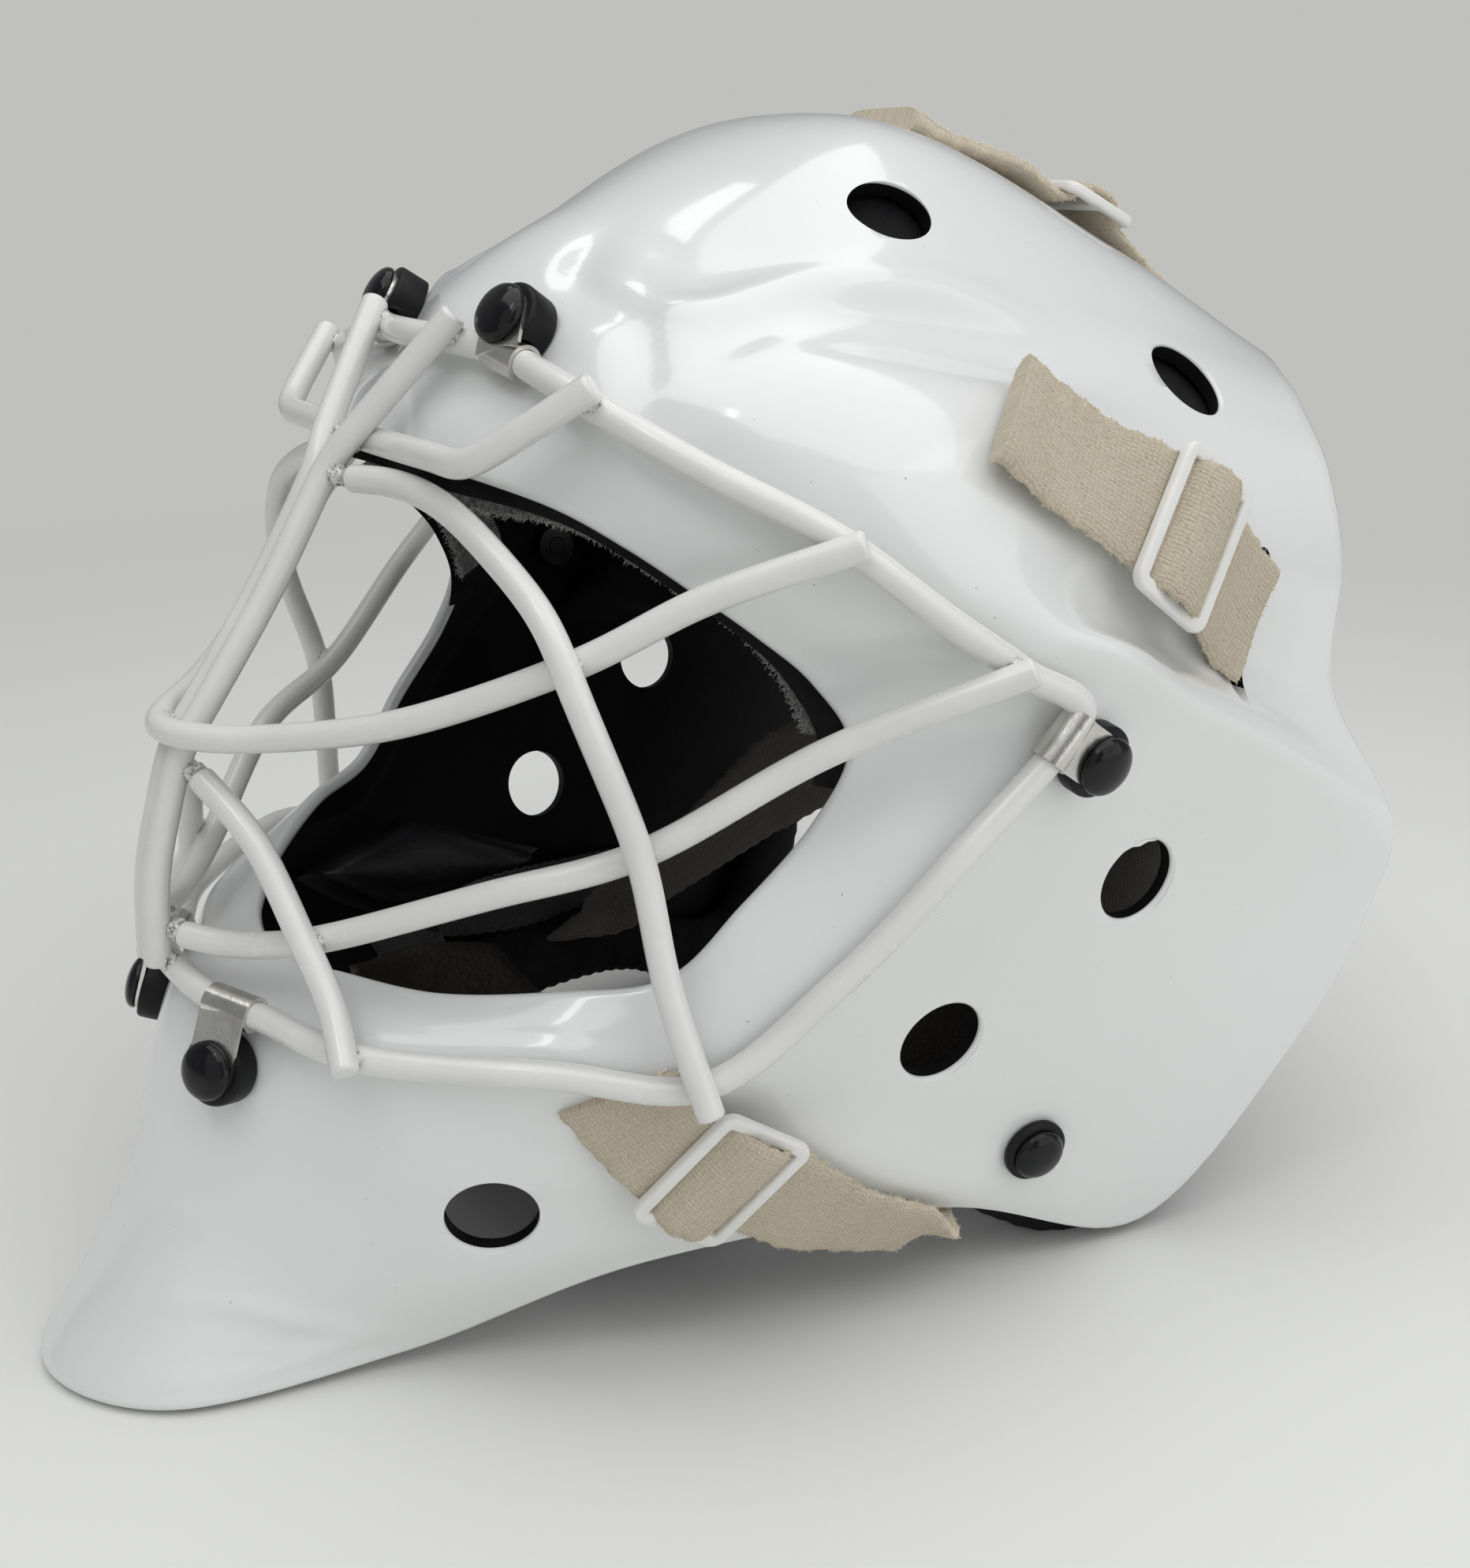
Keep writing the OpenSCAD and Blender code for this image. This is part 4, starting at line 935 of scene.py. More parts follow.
# Weld beads, one set at every joint
def bead_shape():
    bm = bmesh.new()
    bmesh.ops.create_icosphere(bm, subdivisions=3, radius=1.0)
    for v in bm.verts:
        v.co *= 1 + 0.09 * math.sin(7 * v.co.x + 3 * v.co.y) + 0.07 * math.cos(9 * v.co.z)
    obj = from_bmesh("weld_bead", bm)
    obj.data.shade_smooth()
    return obj


bead = bead_shape()
seats = []
for p in welds:
    m = Matrix.Rotation(random.uniform(0, 6), 4, "Z") @ Matrix.Rotation(random.uniform(0, 6), 4, "X")
    m.translation = Vector(p * MM)
    seats.append(m)
BEAD_R = 2.3
beads = grown(points_object("cage_welds", seats), SET, shape=bead, size=BEAD_R * MM, finish=CAGE)
bpy.data.objects.remove(bead)
with_welds(beads)
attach(beads, "mask")


# Clips, screws and washers
def clip_stretch(place):
    u = place[0] + np.arange(-0.8, 0.8001, 0.05)
    gaps = np.linalg.norm(rim_wire(u) - skin(*place), axis=-1)
    low = math.floor(round(float(u[np.argmin(gaps)]), 6) * 3) / 3
    return rim_wire(low), rim_wire(low + 1 / 3)


def clip_frame(place):
    a, b = clip_stretch(place)
    p, n = skin(*place), outward(*place)
    wire = (a + b) / 2
    rise = float((wire - p) @ n)
    reach = float(np.linalg.norm(wire - p - n * rise))
    return dict(wire=wire, way=unit(b - a), p=p, n=n, rise=rise, reach=reach, to_wire=wire - p)


for node in ("forehead_clips", "temple_clips", "chin_clips"):
    coated(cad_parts[node], STEEL)


SHANK_R, HOLE_R, SLING_WASHER = 2.4, 2.65, 2.5


def dome_profile(height, shank_end):
    """A domed head on its shank, from the pole down."""
    profile = [(0.0, height + HEAD_H)]
    r = HEAD_D / 2
    for k in range(1, 9):
        a = k / 8 * math.pi / 2
        profile.append((r * math.sin(a), height + 0.7 + (HEAD_H - 0.7) * math.cos(a)))
    profile += [(r, height + 0.35), (r - 0.15, height + 0.12), (r - 0.4, height), (SHANK_R, height)]
    return profile + [(SHANK_R, -shank_end), (0.0, -shank_end)]


def shell_seat(place):
    return seat_matrix(skin(*place), outward(*place), along_way(*place))


def both_sides(name, parts, degrees, finish, node):
    """The parts and their mirror images as one piece."""
    parts = parts + [flipped(p, name + "_right") for p in parts]
    obj = joined(name, parts)
    sharpen(obj, degrees)
    coated(obj, finish)
    in_place_of(obj, "mask", node)


def screw_set(name, places, heights, depths, node):
    """Domed screws through the shell, one at each place."""
    parts = [lathe(name, dome_profile(height, depth), 48, shell_seat(place))
             for place, height, depth in zip(places, heights, depths)]
    both_sides(name, parts, 38, SCREW, node)


frames = [clip_frame(p) for p in CLIP_SCREWS]
tab_heights = [f["rise"] + WIRE_R + 0.1 for f in frames]
head_heights = [h + CLIP_T for h in tab_heights]
screw_set("clip_screw_heads", CLIP_SCREWS, head_heights, [WALL + 3.4] * 3, "clip_screws")
screw_set("sling_screw_heads", [SLING_SCREW], [SLING_WASHER], [WALL + 6.6], "sling_screws")


def washer_set(name, places, heights, node, frames_of=None):
    """Rubber washers with rounded edges; those of clips are cut back for the wire and its tube."""
    parts = []
    r = WASHER_D / 2
    for k, (place, height) in enumerate(zip(places, heights)):
        profile = [(HOLE_R, 0.4), (r - 0.5, 0.4), (r - 0.1, 0.55), (r, 0.9), (r, height - 0.9)]
        profile += [(r - 0.12, height - 0.4), (r - 0.45, height - 0.1), (r - 0.9, height)]
        profile += [(HOLE_R, height), (HOLE_R, 0.4)]
        part = lathe(name, profile, 72, shell_seat(place))
        if frames_of:
            f = frames_of[k]
            room = WIRE_R + 1.4
            seat = seat_matrix(f["wire"], f["way"], f["n"])
            part = boolean(part, lathe("tube", [(0, -15), (room, -15), (room, 15), (0, 15)], 48, seat))
            bm = bmesh.new()
            bmesh.ops.create_cube(bm, size=1)
            bmesh.ops.scale(bm, vec=(40, 20, 30), verts=bm.verts)
            bmesh.ops.translate(bm, vec=(0, 10 + f["reach"], 0), verts=bm.verts)
            block = from_bmesh("beyond", bm)
            block.data.transform(seat_matrix(f["p"], f["n"], f["to_wire"]) @ Matrix.Scale(MM, 4))
            part = boolean(part, block)
        parts.append(part)
    both_sides(name, parts, 40, RUBBER, node)


washer_set("clip_washer_rubbers", CLIP_SCREWS, tab_heights, "clip_washers", frames)
washer_set("sling_washer_rubbers", [SLING_SCREW], [SLING_WASHER], "sling_washers")
for node in ("clip_nuts", "sling_nuts"):
    coated(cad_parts[node], SCREW)


# Straps, elastics and the chin sling's webbing
LIE = STRAP_GAP + STRAP_T / 2
SLIDER_LOW = LIE + STRAP_T / 2 + STRAP_GAP
OVER_BAR = SLIDER_LOW + SLIDER_T + STRAP_GAP + STRAP_T / 2
SLIDER_RUN = 3 * SLIDER_BAR + 2 * SLIDER_WINDOW
SLIDER_SPAN = STRAP_W + 2 * SLIDER_BAR + 2 * STRAP_GAP
TOP_SLIDER = (0, 6.1, 0, 2.5)
SIDE_SLIDER = (5.08, 5.12, -62, 1.5)
LOWER_SLIDER = (11.0, 4.2, 50, 2)
INSIDE_END = -(WALL + 1.5)
TURN_ROW = 11.2


def on_shell(u, v, height, turn=0, share=1.0, layers=1.0):
    return spot(u, v, height), across(u, v, turn), share, layers


def along_shell(*places):
    return [on_shell(*place) for place in places]


def slider_section(place, y, height, share=1.0):
    u, v, turn, lift = place
    a, n = across(u, v, turn), outward(u, v)
    return skin(u, v) + np.cross(n, a) * y + n * (height + lift), a, share, 1.0


def through_slider(place):
    """A strap's way under the outer bars of a slider and full over its middle bar."""
    out = SLIDER_RUN / 2 + 1
    under = SLIDER_BAR / 2 + SLIDER_WINDOW - 0.3
    top = SLIDER_BAR / 2 + 3.4
    flat = [(-out, LIE, 1.0), (-under, LIE, 1.05)]
    full = [(-top, OVER_BAR, 1.13), (0, OVER_BAR + 1, 1.13), (top, OVER_BAR, 1.13)]
    back = [(-y, z, share) for y, z, share in flat[::-1]]
    return [slider_section(place, y, z, share) for y, z, share in flat + full + back]


def into_slot(place):
    return [on_shell(place[0], place[1], h, place[2]) for h in (LIE + 1.2, 0.6, -WALL / 2, INSIDE_END)]


def ribbon(name, sections, width, thick, finish, softness=5, columns=18, wave=0.25, seed=1, flatness=10):
    """A soft band through its sections, with rounded edges, slight waves and a UV map in centimetres."""
    table = eased(np.array([[*s[0], *s[1], s[2], s[3]] for s in sections]), 1.2, softness)
    centre, side, share = table[:, :3], table[:, 3:6], table[:, 6:]
    way = unit(np.gradient(centre, axis=0))
    side = square_to(side, way)
    up = np.cross(way, side)
    run = np.r_[0, np.cumsum(np.linalg.norm(np.diff(centre, axis=0), axis=1))]
    rng = np.random.RandomState(seed)
    phases = rng.uniform(0, 6.28, 6)
    angle = np.linspace(0, np.pi, columns + 1)
    x = -np.cos(angle)
    lift = (1 - np.abs(x) ** flatness) ** 0.5
    rings = []
    for i, c in enumerate(centre):
        w, t = width * share[i, 0] / 2, thick * share[i, 1] / 2
        ripple = np.sin(run[i] * 0.35 + phases[0] + 2 * x) + 0.6 * np.sin(run[i] * 0.9 + phases[1] - 3 * x)
        ripple = wave * ripple * np.abs(x)
        edge = 0.25 * np.sin(run[i] * 1.3 + phases[2])
        top = c + side[i] * ((w + edge) * x)[:, None] + up[i] * (ripple + t * lift)[:, None]
        low = c + side[i] * ((w + edge) * x)[:, None] + up[i] * (ripple - t * lift)[:, None]
        rings.append(np.r_[top, low[-2:0:-1]])
    rings = np.array(rings)
    count, size = rings.shape[:2]
    faces = ring_faces(count, size)[:-size]
    faces += [tuple(range(size)), tuple(range(count * size - 1, (count - 1) * size - 1, -1))]
    obj = new_piece(name, rings.reshape(-1, 3), faces)
    uv = obj.data.uv_layers.new(name="strap")
    columns_at = np.r_[x, x[-2:0:-1]]
    for loop in obj.data.loops:
        k, j = divmod(loop.vertex_index, size)
        uv.data[loop.index].uv = (run[k] / 10, columns_at[j] * width * share[k, 0] / 20)
    return dressed(obj, 65, finish)


def stitch_rows(sections, count, inset, width, height):
    """Seats for short stitches along a line across a strap."""
    out = []
    for c, a, n in sections:
        for k in range(count):
            x = (k + 0.5) / count * 2 - 1
            p = c + a * x * (width / 2 - inset) + n * height
            out.append(seat_matrix(p, n, np.cross(n, a)))
    return out


def stitch_shape():
    bm = bmesh.new()
    bmesh.ops.create_uvsphere(bm, u_segments=8, v_segments=6, radius=1.0)
    for v in bm.verts:
        v.co = Vector((v.co.x * 0.95, v.co.y * 0.32, v.co.z * 0.3))
    obj = from_bmesh("stitch", bm)
    obj.data.shade_smooth()
    return obj


def fibre_shape():
    """A short bent hair with three sides, one millimetre long."""
    points = []
    for x, z, r in ((0, 0, 0.11), (0.1, 0.45, 0.1), (0.4, 0.8, 0.08), (0.75, 0.95, 0.04)):
        points += [(x + r * math.cos(a), r * math.sin(a), z) for a in (0, 2.1, 4.2)]
    obj = new_piece("fibre", points, ring_faces(4, 3)[:-3] + [(2, 1, 0), (9, 10, 11)])
    obj.data.transform(Matrix.Scale(1 / MM, 4))
    return obj


def fluffed(obj, count, length, finish, seed):
    """The piece with short loose fibres standing off its surface."""
    rng = random.Random(seed)
    seats = []
    for _ in range(count):
        v = obj.data.vertices[rng.randrange(len(obj.data.vertices))]
        lean = np.array([rng.gauss(0, 1.1) for _ in range(3)])
        n = unit(np.array(v.normal) + lean)
        seats.append(seat_matrix(np.array(v.co) / MM, n, [rng.gauss(0, 1) for _ in range(3)]))
    hairs = grown(points_object("fluff", seats), SET, shape=fibre, size=length * MM, finish=finish)
    return joined(obj.name, [obj, hairs])


stitch = stitch_shape()
fibre = fibre_shape()
top_route = along_shell((0, 5.3, LIE + 1.5, 0, 1, 2), (0, 5.36, LIE + 1.5, 0, 1, 2),
                        (0, 5.46, LIE + 0.6, 0, 1, 1.4), (0, 5.62, LIE + 3.2, 0, 1, 1.3),
                        (0, 5.8, LIE + 4.2, 0, 1, 1.2))
top_route += through_slider(TOP_SLIDER) + along_shell((0, 6.6, LIE)) + into_slot(TOP_SLOT)
side_route = along_shell((4.02, 4.34, LIE + 2.6, -90, 1.1, 1.9), (4.14, 4.37, LIE + 2.4, -89, 1.1, 1.9),
                         (4.2, 4.39, LIE + 2, -86, 1.08), (4.5, 4.5, LIE + 1.2, -75, 1.04),
                         (4.72, 4.68, LIE + 1.5, -66))
side_route += through_slider(SIDE_SLIDER) + [slider_section((*SIDE_SLOT[:2], -42, 0), -6.5, LIE + 1.2)]
side_route += into_slot(SIDE_SLOT)
lower_route = along_shell((10.66, 2.44, 1.0, 54, 1.04, 0.9), (10.68, 2.6, 1.1, 54, 1.04, 0.9),
                          (10.72, 2.8, 1.4, 53, 1.02), (10.86, 3.4, LIE + 1.5, 50))
lower_route += through_slider(LOWER_SLIDER)
lower_route += along_shell((TURN_ROW, 6, LIE + 1.5, 40, 0.9), (TURN_ROW, 6.6, LIE + 1.6, 20, 0.75),
                           (TURN_ROW, 7.46, LIE + 1.7, 0, 0.6), (TURN_ROW, 7.46, -WALL - LIE - 2, 0, 0.6),
                           (TURN_ROW, 7.1, -WALL - LIE - 2.2, 0, 0.6))
FLUFF_COUNT, FLUFF_LENGTH, SEAM_LINES = 4200, 0.62, (3.4, 5.4)


def strap_piece(node, route, right=False, seed=1):
    band = ribbon(node + "_band", route, STRAP_W, STRAP_T * 1.3, KNIT, seed=seed)
    obj = fluffed(band, FLUFF_COUNT, FLUFF_LENGTH, THREAD, seed)
    start, side = route[0][0], unit(route[0][1])
    way = unit(route[1][0] - start)
    lines = [(start + way * s, side, np.cross(way, side)) for s in SEAM_LINES]
    height = STRAP_T * 0.65 * route[0][3] + 0.15
    stitches = points_object("seam", stitch_rows(lines, 16, 1.5, STRAP_W, height))
    seam = grown(stitches, SET, shape=stitch, size=MM, finish=THREAD)
    obj = sided(joined(node + "_band", [obj, seam]), node + "_band", right)
    in_place_of(obj, "mask", node)


strap_piece("top_strap", top_route, seed=3)
strap_piece("side_strap_left", side_route, seed=5)
strap_piece("side_strap_right", side_route, right=True, seed=6)
strap_piece("lower_strap_left", lower_route, seed=8)
strap_piece("lower_strap_right", lower_route, right=True, seed=9)


def rounded_rectangle(x0, x1, y0, y1, r, steps=6):
    out = []
    middles = (x1 - r, y1 - r, 0), (x0 + r, y1 - r, 90), (x0 + r, y0 + r, 180), (x1 - r, y0 + r, 270)
    for cx, cy, start in middles:
        for k in range(steps + 1):
            a = math.radians(start + 90 * k / steps)
            out.append((cx + r * math.cos(a), cy + r * math.sin(a)))
    return out


def slider_piece(node, place, right=False):
    """A moulded slider with soft edges: an outer ring and a centre bar."""
    data = bpy.data.curves.new(node, "CURVE")
    data.dimensions = "2D"
    data.fill_mode = "BOTH"
    bevel = 0.75
    data.extrude = (SLIDER_T / 2 - bevel) * MM
    data.bevel_depth = bevel * MM
    data.bevel_resolution = 3
    half, run = SLIDER_SPAN / 2, SLIDER_RUN / 2
    loops = [rounded_rectangle(-half + bevel, half - bevel, -run + bevel, run - bevel, 2.6)]
    for y in (-1, 1):
        middle, room = y * (SLIDER_BAR + SLIDER_WINDOW) / 2, SLIDER_WINDOW / 2 + bevel
        side = half - SLIDER_BAR + bevel
        loops.append(rounded_rectangle(-side, side, middle - room, middle + room, 1.3)[::-1])
    for loop in loops:
        drawn_line(data, [(x, y, 0) for x, y in loop])
    obj = applied(linked(node + "_ring", data))
    u, v, turn, lift = place
    n = outward(u, v)
    middle = spot(u, v, SLIDER_LOW + lift + SLIDER_T / 2)
    obj.data.transform(seat_matrix(middle, n, np.cross(n, across(u, v, turn))))
    tidy_mesh(obj, 1e-6)
    sharpen(obj, 50)
    coated(obj, SLIDER)
    obj = sided(obj, node + "_ring", right)
    in_place_of(obj, "mask", node)


slider_piece("top_slider", TOP_SLIDER)
slider_piece("side_slider_left", SIDE_SLIDER)
slider_piece("side_slider_right", SIDE_SLIDER, right=True)
slider_piece("lower_slider_left", LOWER_SLIDER)
slider_piece("lower_slider_right", LOWER_SLIDER, right=True)

# Back plate and its elastics
PLATE_W, PLATE_H, PLATE_T, PLATE_PAD_T = 136.0, 126.0, 3.0, 8.0
PLATE_BEND, PLATE_TILT_BEND = 88.0, 130.0
PLATE_ROOM = 0.6
plate_middle = fit([0, 148, 128])


def plate_normal(a, b):
    return unit([a * PLATE_W / 2 / PLATE_BEND, 1, b * PLATE_H / 2 / PLATE_TILT_BEND])


def plate_point(a, b, out=0.0):
    x, z = a * PLATE_W / 2, b * PLATE_H / 2
    y = -x * x / (2 * PLATE_BEND) - z * z / (2 * PLATE_TILT_BEND)
    return plate_middle + np.array([x, y, z]) + plate_normal(a, b) * out


def rounded_place(a, b, pull=0.55):
    m = max(abs(a), abs(b), 1e-4)
    k = 1 + (m / max(math.hypot(a, b), 1e-4) - 1) * pull
    return a * k, b * k


def sheet_faces(rows, columns, joined_rim=True):
    """Faces of two grids of points, one behind the other, with their rims joined."""
    n = columns + 1
    total, faces = (rows + 1) * n, []
    for i in range(rows):
        for j in range(columns):
            q = (i * n + j, i * n + j + 1, (i + 1) * n + j + 1, (i + 1) * n + j)
            faces += [q, tuple(total + k for k in reversed(q))]
    if joined_rim:
        rim = list(range(n)) + [i * n + columns for i in range(1, rows + 1)]
        rim += [rows * n + j for j in range(columns - 1, -1, -1)] + [i * n for i in range(rows - 1, 0, -1)]
        faces += [(p, q, total + q, total + p) for p, q in zip(rim, rim[1:] + rim[:1])]
    return faces


def slab_points(steps, point_at):
    sides = np.linspace(-1, 1, steps + 1)
    return [point_at(a, b, face) for face in (1, -1) for a in sides for b in sides]


def plate_slab(name, size, front, back, steps, crown, finish):
    """A curved slab with soft edges; crown raises its middle on the head's side."""
    def point_at(a, b, face):
        x, z = rounded_place(a, b)
        edge = max(0, (max(abs(a), abs(b)) - 0.86) / 0.14)
        half = (back - front) / 2 * math.sqrt(max(0.0, 1 - edge ** 2) * 0.96 + 0.04)
        depth = (back + front) / 2 + face * half
        if face < 0:
            depth += crown * (abs(a) ** 3 + abs(b) ** 3) * 0.5
        return plate_point(x * size, z * size, depth)

    obj = new_piece(name, slab_points(steps, point_at), sheet_faces(steps, steps))
    return dressed(obj, 60, finish)


plate = plate_slab("backplate_shield", 1.0, -PLATE_T, 0.0, 40, 0.0, PLATE)
in_place_of(plate, "back_plate", "backplate")
pad_back = -PLATE_T - 0.3
pad = plate_slab("backplate_cushion", 0.62, pad_back - PLATE_PAD_T, pad_back, 36, 1.6, FOAM)
in_place_of(pad, "back_plate", "backplate_pad")
coated(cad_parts["backplate_rivets"], STEEL)


def lying_on_plate(place, way):
    side = square_to(np.asarray(way, float), plate_normal(*place))
    return plate_point(*place, LIE + PLATE_ROOM), side, 1.0, 1.0


ELASTIC_START = INSIDE_END - STRAP_GAP
DOWN = [0, 0, -1]
top_elastic = [on_shell(*TOP_SLOT[:2], h, TOP_SLOT[2]) for h in (ELASTIC_START, ELASTIC_START - 3)]
top_elastic += [lying_on_plate((0, b), [1, 0, 0]) for b in (1.1, 1.02, 0.82, 0.68)]
side_elastic = [on_shell(*SIDE_SLOT[:2], h, SIDE_SLOT[2]) for h in (ELASTIC_START, ELASTIC_START - 3)]
side_elastic += [lying_on_plate((a, 0.25), DOWN) for a in (1.1, 1.02, 0.82, 0.7)]
turn_p, turn_a = on_shell(TURN_ROW, 6.83, -WALL - LIE - 2.4)[:2]
elastic_way = unit([0, -0.4, -0.9])
lower_elastic = [(turn_p, turn_a, 0.6, 1.0), on_shell(TURN_ROW, 6.68, -WALL - LIE - 3, 0, 0.6),
                 (turn_p + [-13, 4, 8], unit(turn_a + [0, 0, -0.5]), 0.6, 1.0),
                 (turn_p + [-19, 18, 15], elastic_way, 0.6, 1.0), (fit([63, 62, 66]), elastic_way, 1.35, 1.0)]
lower_elastic += [lying_on_plate(p, DOWN) for p in ((0.96, -0.8), (0.8, -0.74), (0.6, -0.66), (0.48, -0.61))]


def elastic_piece(node, route, start, end, right=False):
    # The elastics take the darkened strap knit, which is painted shade
    obj = ribbon(node + "_band", route, STRAP_W, STRAP_T, KNIT_IN_PAINTED_SHADE, wave=0.0, seed=4)
    obj = sided(obj, node + "_band", right)
    if right:
        start, end = np.asarray(start) * FLIP, np.asarray(end) * FLIP
    tuple(np.asarray(start) * MM)
    tuple(np.asarray(end) * MM)
    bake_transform(obj)
    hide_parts(node)


elastic_piece("top_elastic", top_elastic, top_elastic[0][0], top_elastic[3][0])
for side, right in (("left", False), ("right", True)):
    elastic_piece("side_elastic_" + side, side_elastic, side_elastic[0][0], side_elastic[3][0], right)
    elastic_piece("lower_elastic_" + side, lower_elastic, lower_elastic[1][0], lower_elastic[5][0], right)


# Lining pads
def crowned(a, edge=0.7):
    return edge + (1 - edge) * (1 - a ** 4)


def swell(v):
    """Extra depth of the brow's lining behind its thin front edge."""
    s = np.clip(v / 1.1, 0, 1)
    return 7 * s * s * (3 - 2 * s)


def pad_piece(name, rows, stations, base, thick, finish, node=None, grooves=(), wedge=0, lift=0):
    """A cushion with a crowned face, soft edges and sewn grooves, on the shell's inner face. A wedge
    of 1 thins its front edge, and a lift of 1 lays it on such a pad."""
    nu, nv, draw = 72, 30, 0.9
    a = np.linspace(-1, 1, nu + 1)[:, None] * np.ones((1, nv + 1))
    b = np.ones((nu + 1, 1)) * np.linspace(-1, 1, nv + 1)[None]
    mu, hu = (rows[0] + rows[1]) / 2, (rows[1] - rows[0]) / 2
    mv, hv = (stations[0] + stations[1]) / 2, (stations[1] - stations[0]) / 2
    outer = spot(mu + hu * a * 0.995, mv + hv * b * 0.995, -base - 0.35 - lift * swell(mv + hv * b))
    soft = np.clip(1 - np.maximum(np.abs(a), np.abs(b)) ** 14, 0, 1) ** 0.5
    depth = thick * crowned(a) * crowned(b) * (0.25 + 0.75 * soft)
    for way, at, half in grooves:
        run = a if way == "u" else b
        depth = depth - PAD_GROOVE * np.exp(-((run - at) / half) ** 2)
    depth = depth + (wedge + lift) * swell(mv + hv * b)
    inner = spot(mu + hu * a * draw, mv + hv * b * (0.5 + draw / 2), -base - depth)
    points = np.concatenate([outer.reshape(-1, 3), inner.reshape(-1, 3)])
    obj = dressed(new_piece(name, points, sheet_faces(nu, nv)), 70, finish)
    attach(obj, "mask")
    if node:
        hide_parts(node)
    return obj


LINING = WALL + 0.3
PAD_GROOVE = 1.3
EDGE_FOAM, EDGE_FLEECE = 4.4, 1.6
FLEECE_BASE = LINING + EDGE_FOAM
pad_piece("brow_pad_cushion", (-3, 3), (-0.26, 2), LINING, EDGE_FOAM, FOAM, "brow_pad", wedge=1)
pad_piece("sweatband_fleece", (-3, 3), (-0.32, 1), FLEECE_BASE + 0.2, 4, TERRY,
          "sweatband", lift=1)
pad_piece("crown_pad_cushion", (-3.2, 3.2), (4.5, 6.55), LINING + 0.3, 13, FOAM, "crown_pad",
          [("u", 0.0, 0.03), ("u", -0.5, 0.03), ("u", 0.5, 0.03)])


def lining_of_side(side, sign):
    def rows(a, b):
        return sorted((sign * a, sign * b))

    pad_piece("side_pad_%s_cushion" % side, rows(16 / 3, 8), (3.5, 5), LINING, 14, FOAM,
              "side_pad_" + side, [("u", 0.0, 0.05)])
    pad_piece("jaw_pad_%s_cushion" % side, rows(10, 34 / 3), (3, 4.5), LINING, 12, JAW_LEATHER,
              "jaw_pad_" + side)
    pad_piece("temple_foam_" + side, rows(2.9, 7.6), (-0.26, 0.9), LINING, EDGE_FOAM, FOAM)
    pad_piece("temple_fleece_" + side, rows(2.9, 6.9), (-0.32, 0.8), FLEECE_BASE, EDGE_FLEECE, TERRY)


lining_of_side("left", 1)
lining_of_side("right", -1)


def fleece_fringe(count=5200):
    """Loose whitish fibres along the fleece's cut front edge, from temple to temple."""
    rng = random.Random(12)
    seats = []
    for _ in range(count):
        u = rng.uniform(-6.85, 6.85)
        v = rng.gauss(-0.31, 0.03)
        p = spot(u, v, -(FLEECE_BASE + rng.uniform(0.0, EDGE_FLEECE)))
        way = -along_way(u, v) + np.array([rng.gauss(0, 0.6) for _ in range(3)])
        seats.append(seat_matrix(p, way, [rng.gauss(0, 1) for _ in range(3)]))
    hairs = points_object("fleece_fringe", seats)
    obj = grown(hairs, SET, shape=fibre, size=0.95 * MM, finish=FLEECE_THREAD)
    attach(obj, "mask")


fleece_fringe()


def neck_shade_roll(name, right=False):
    """A soft roll of black foam inside the lower rim beside the neck, which is also painted shade: it darkens
    the gap under the rim and hides the lit floor seen through the neck opening.
    """
    sections = []
    for u in np.arange(9.0, 12.2, 0.15):
        further_in = min(1.0, max(0.0, (u - 10) / 0.8))
        p = spot(u, 6.75, -(WALL + 6.0 + 5.0 * further_in))
        p[2] = max(skin(u, 7)[2] + 3.5, 8.5)
        sections.append((p, along_way(u, 6.75), 1.0, 1.0))
    ends = [0.35, 0.8, 0.95]
    for k, share in enumerate(ends):
        sections[k] = sections[k][:2] + (share, share)
        sections[-1 - k] = sections[-1 - k][:2] + (share, share)
    obj = ribbon(name, sections, 20.0, 12.0, FOAM, softness=8, columns=24, wave=0.0, flatness=2)
    obj = sided(obj, name, right)
    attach(obj, "mask")


neck_shade_roll("neck_roll_left")
neck_shade_roll("neck_roll_right", right=True)

# Chin cup and sling
CUP_W, CUP_L, CUP_T = 70.0, 46.0, 3.0
cup_middle = fit([0, -66, 44])


def cup_point(a, b, out):
    z = 12 * a * a + (8 if b < 0 else 2) * b * b + out
    return cup_middle + np.array([a * CUP_W / 2, b * CUP_L / 2, z])


def cup_skin(a, b, face):
    x, y = rounded_place(a, b)
    share = math.sqrt(max(0.0, 1 - max(0, (max(abs(a), abs(b)) - 0.88) / 0.12) ** 2))
    return cup_point(x, y, CUP_T / 2 + face * CUP_T / 2 * share)


cup = new_piece("chin_cup_leather", slab_points(32, cup_skin), sheet_faces(32, 32, False))
dressed(cup, 60, CUP_LEATHER, merge=2e-5)
in_place_of(cup, "mask", "chin_cup")
SLING_W, SLING_T = 18.0, 1.6
sling_depth = WALL + 1.35 + SLING_T / 2
cup_lie = 0.3 + 0.8 + SLING_T / 2
sling_across, flat_across = np.array([0, 0.2, 1.0]), np.array([0, 1.0, 0])
sling_bend = fit([64, -22, 49])
sling_route = [(spot(SLING_SCREW[0] + du, SLING_SCREW[1] + dv, -sling_depth), sling_across, 1.0, 1.0)
               for du, dv in ((-0.08, 0.15), (0, 0), (0.1, -0.19))]
cup_start = cup_point(1.25, 0, -cup_lie)
for t in (0, 0.2, 0.4, 0.6, 0.8):
    place = sling_bend + (cup_start - sling_bend) * t
    sling_route.append((place, sling_across + (flat_across - sling_across) * t, 1.0, 1.0))
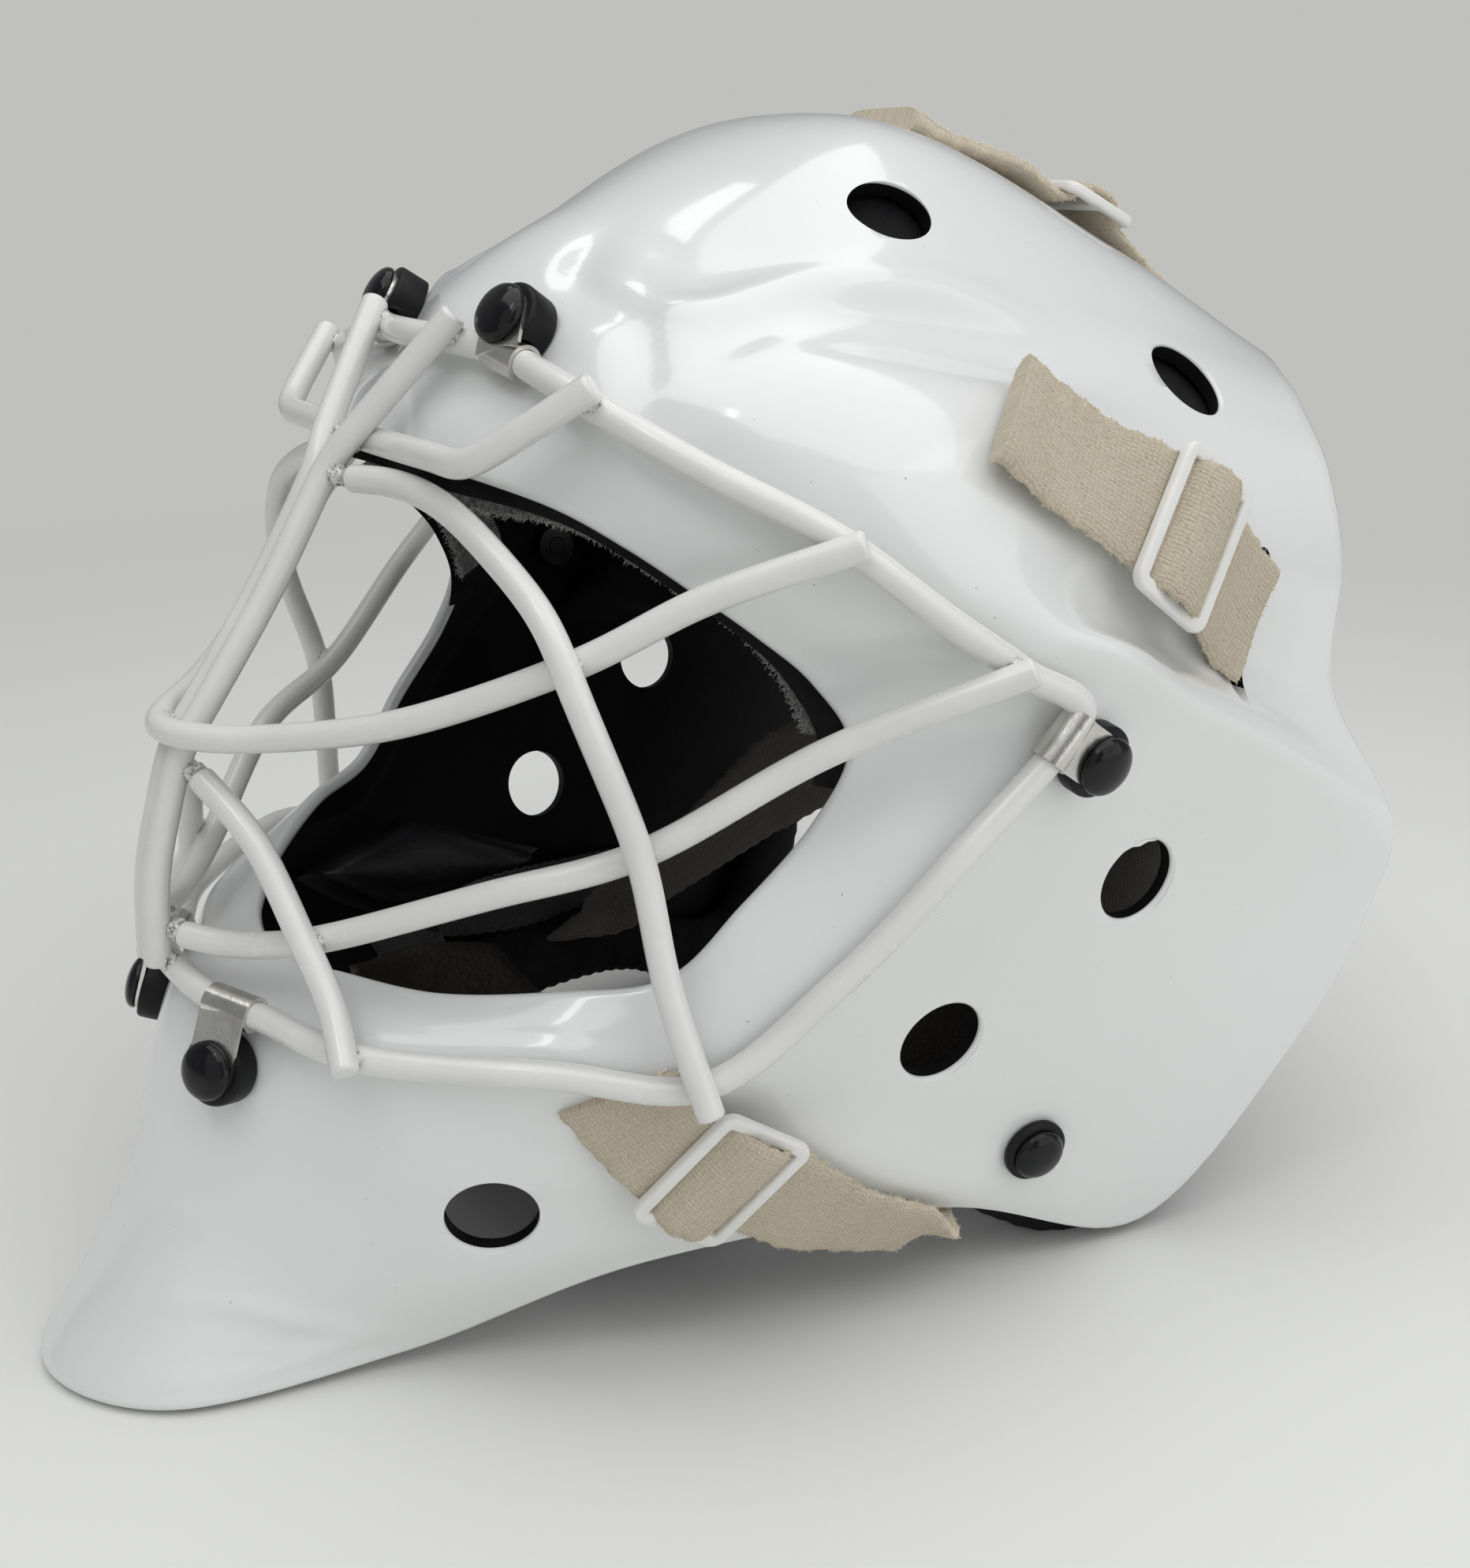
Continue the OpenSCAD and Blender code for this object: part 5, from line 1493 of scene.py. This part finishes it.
sling_route += [(cup_point(a, 0, -cup_lie), flat_across, 1.0, 1.0) for a in (1.25, 1.12, 1, 0.9, 0.8, 0.65)]
for side, right in (("left", False), ("right", True)):
    name = "chin_strap_%s_webbing" % side
    obj = sided(ribbon(name, sling_route, SLING_W, SLING_T, WEBBING, wave=0.0), name, right)
    in_place_of(obj, "mask", "chin_strap_" + side)
bpy.data.objects.remove(stitch)
bpy.data.objects.remove(fibre)


# Studio
BACKGROUND = (0.525, 0.53, 0.51)
CAMERA_PLACE = (0.329, -0.1995, 0.2440)


def make_studio():
    """A round pale floor that fades into the plain background for the camera."""
    ring = [(4 * math.cos(a), 4 * math.sin(a), 0) for a in np.linspace(0, 2 * math.pi, 97)[:-1]]
    mesh = bpy.data.meshes.new("studio_floor")
    mesh.from_pydata(ring, [], [tuple(range(len(ring)))])
    obj = linked("studio_floor", mesh)
    f = Finish("studio_paper", (0.8, 0.805, 0.785), 0.9, specular=0.1)
    reach = f.node("ShaderNodeVectorMath", operation="LENGTH")
    f.links.new(f.place.outputs["Object"], reach.inputs[0])
    far = f.ramp(reach.outputs["Value"], (0.3, (0, 0, 0)), (0.95, (1, 1, 1)))
    seen = f.node("ShaderNodeLightPath")
    glow = f.node("ShaderNodeEmission")
    glow.inputs["Color"].default_value = (*BACKGROUND, 1)
    both = f.node("ShaderNodeMixShader")
    f.links.new(f.maths("MULTIPLY", far, seen.outputs["Is Camera Ray"]), both.inputs["Fac"])
    f.links.new(f.shader.outputs["BSDF"], both.inputs[1])
    f.links.new(glow.outputs["Emission"], both.inputs[2])
    f.links.new(both.outputs["Shader"], f.nodes["Material Output"].inputs["Surface"])
    obj.data.materials.append(f.material)


def area_light(name, place, target, size, power):
    data = bpy.data.lights.new(name, "AREA")
    data.shape = "RECTANGLE"
    data.size, data.size_y = size
    data.energy = power
    obj = linked(name, data)
    obj.location = place
    obj.rotation_euler = (Vector(target) - Vector(place)).to_track_quat("-Z", "Y").to_euler()


def make_light():
    world = bpy.data.worlds.new("studio")
    bpy.context.scene.world = world
    world.use_nodes = True
    tree = world.node_tree
    lamp = tree.nodes["Background"]
    lamp.inputs["Color"].default_value = (0.92, 0.94, 0.96, 1)
    lamp.inputs["Strength"].default_value = 0.27
    plain = added(tree, "ShaderNodeBackground", Color=(*BACKGROUND, 1))
    seen = added(tree, "ShaderNodeLightPath")
    both = added(tree, "ShaderNodeMixShader", Fac=seen.outputs["Is Camera Ray"])
    tree.links.new(lamp.outputs["Background"], both.inputs[1])
    tree.links.new(plain.outputs["Background"], both.inputs[2])
    tree.links.new(both.outputs["Shader"], tree.nodes["World Output"].inputs["Surface"])
    area_light("top_box", (0.2, 0.0, 1.4), (0, 0, 0.1), (1.8, 1.8), 15.2)
    area_light("front_box", (0.9, -1.3, 0.8), (0, 0, 0.12), (1.8, 1.8), 3)
    area_light("side_box", (1.5, 0.7, 0.7), (0, 0, 0.12), (1.8, 1.8), 9)
    area_light("rear_window", (-0.58, 0.005, 1.117), (0.03, -0.03, 0.22), (0.22, 0.085), 0.17)
    area_light("front_window", (0.32, -0.57, 1.14), (0.07, -0.03, 0.2), (0.12, 0.26), 0.5)


def make_camera():
    data = bpy.data.cameras.new("camera")
    data.lens = 2150 / 1988 * 36
    data.sensor_width = 36
    data.clip_start, data.clip_end = 0.01, 20
    obj = linked("camera", data)
    forward = unit([-0.7821, 0.5177, -0.3469])
    right = square_to([0.5519, 0.8339, 0.0], forward)
    up = np.cross(right, forward)
    rows = [[right[i], up[i], -forward[i], CAMERA_PLACE[i]] for i in range(3)]
    obj.matrix_world = Matrix(rows + [[0, 0, 0, 1]])
    bpy.context.scene.camera = obj


make_studio()
make_light()
make_camera()
bpy.context.scene.view_settings.view_transform = "Standard"
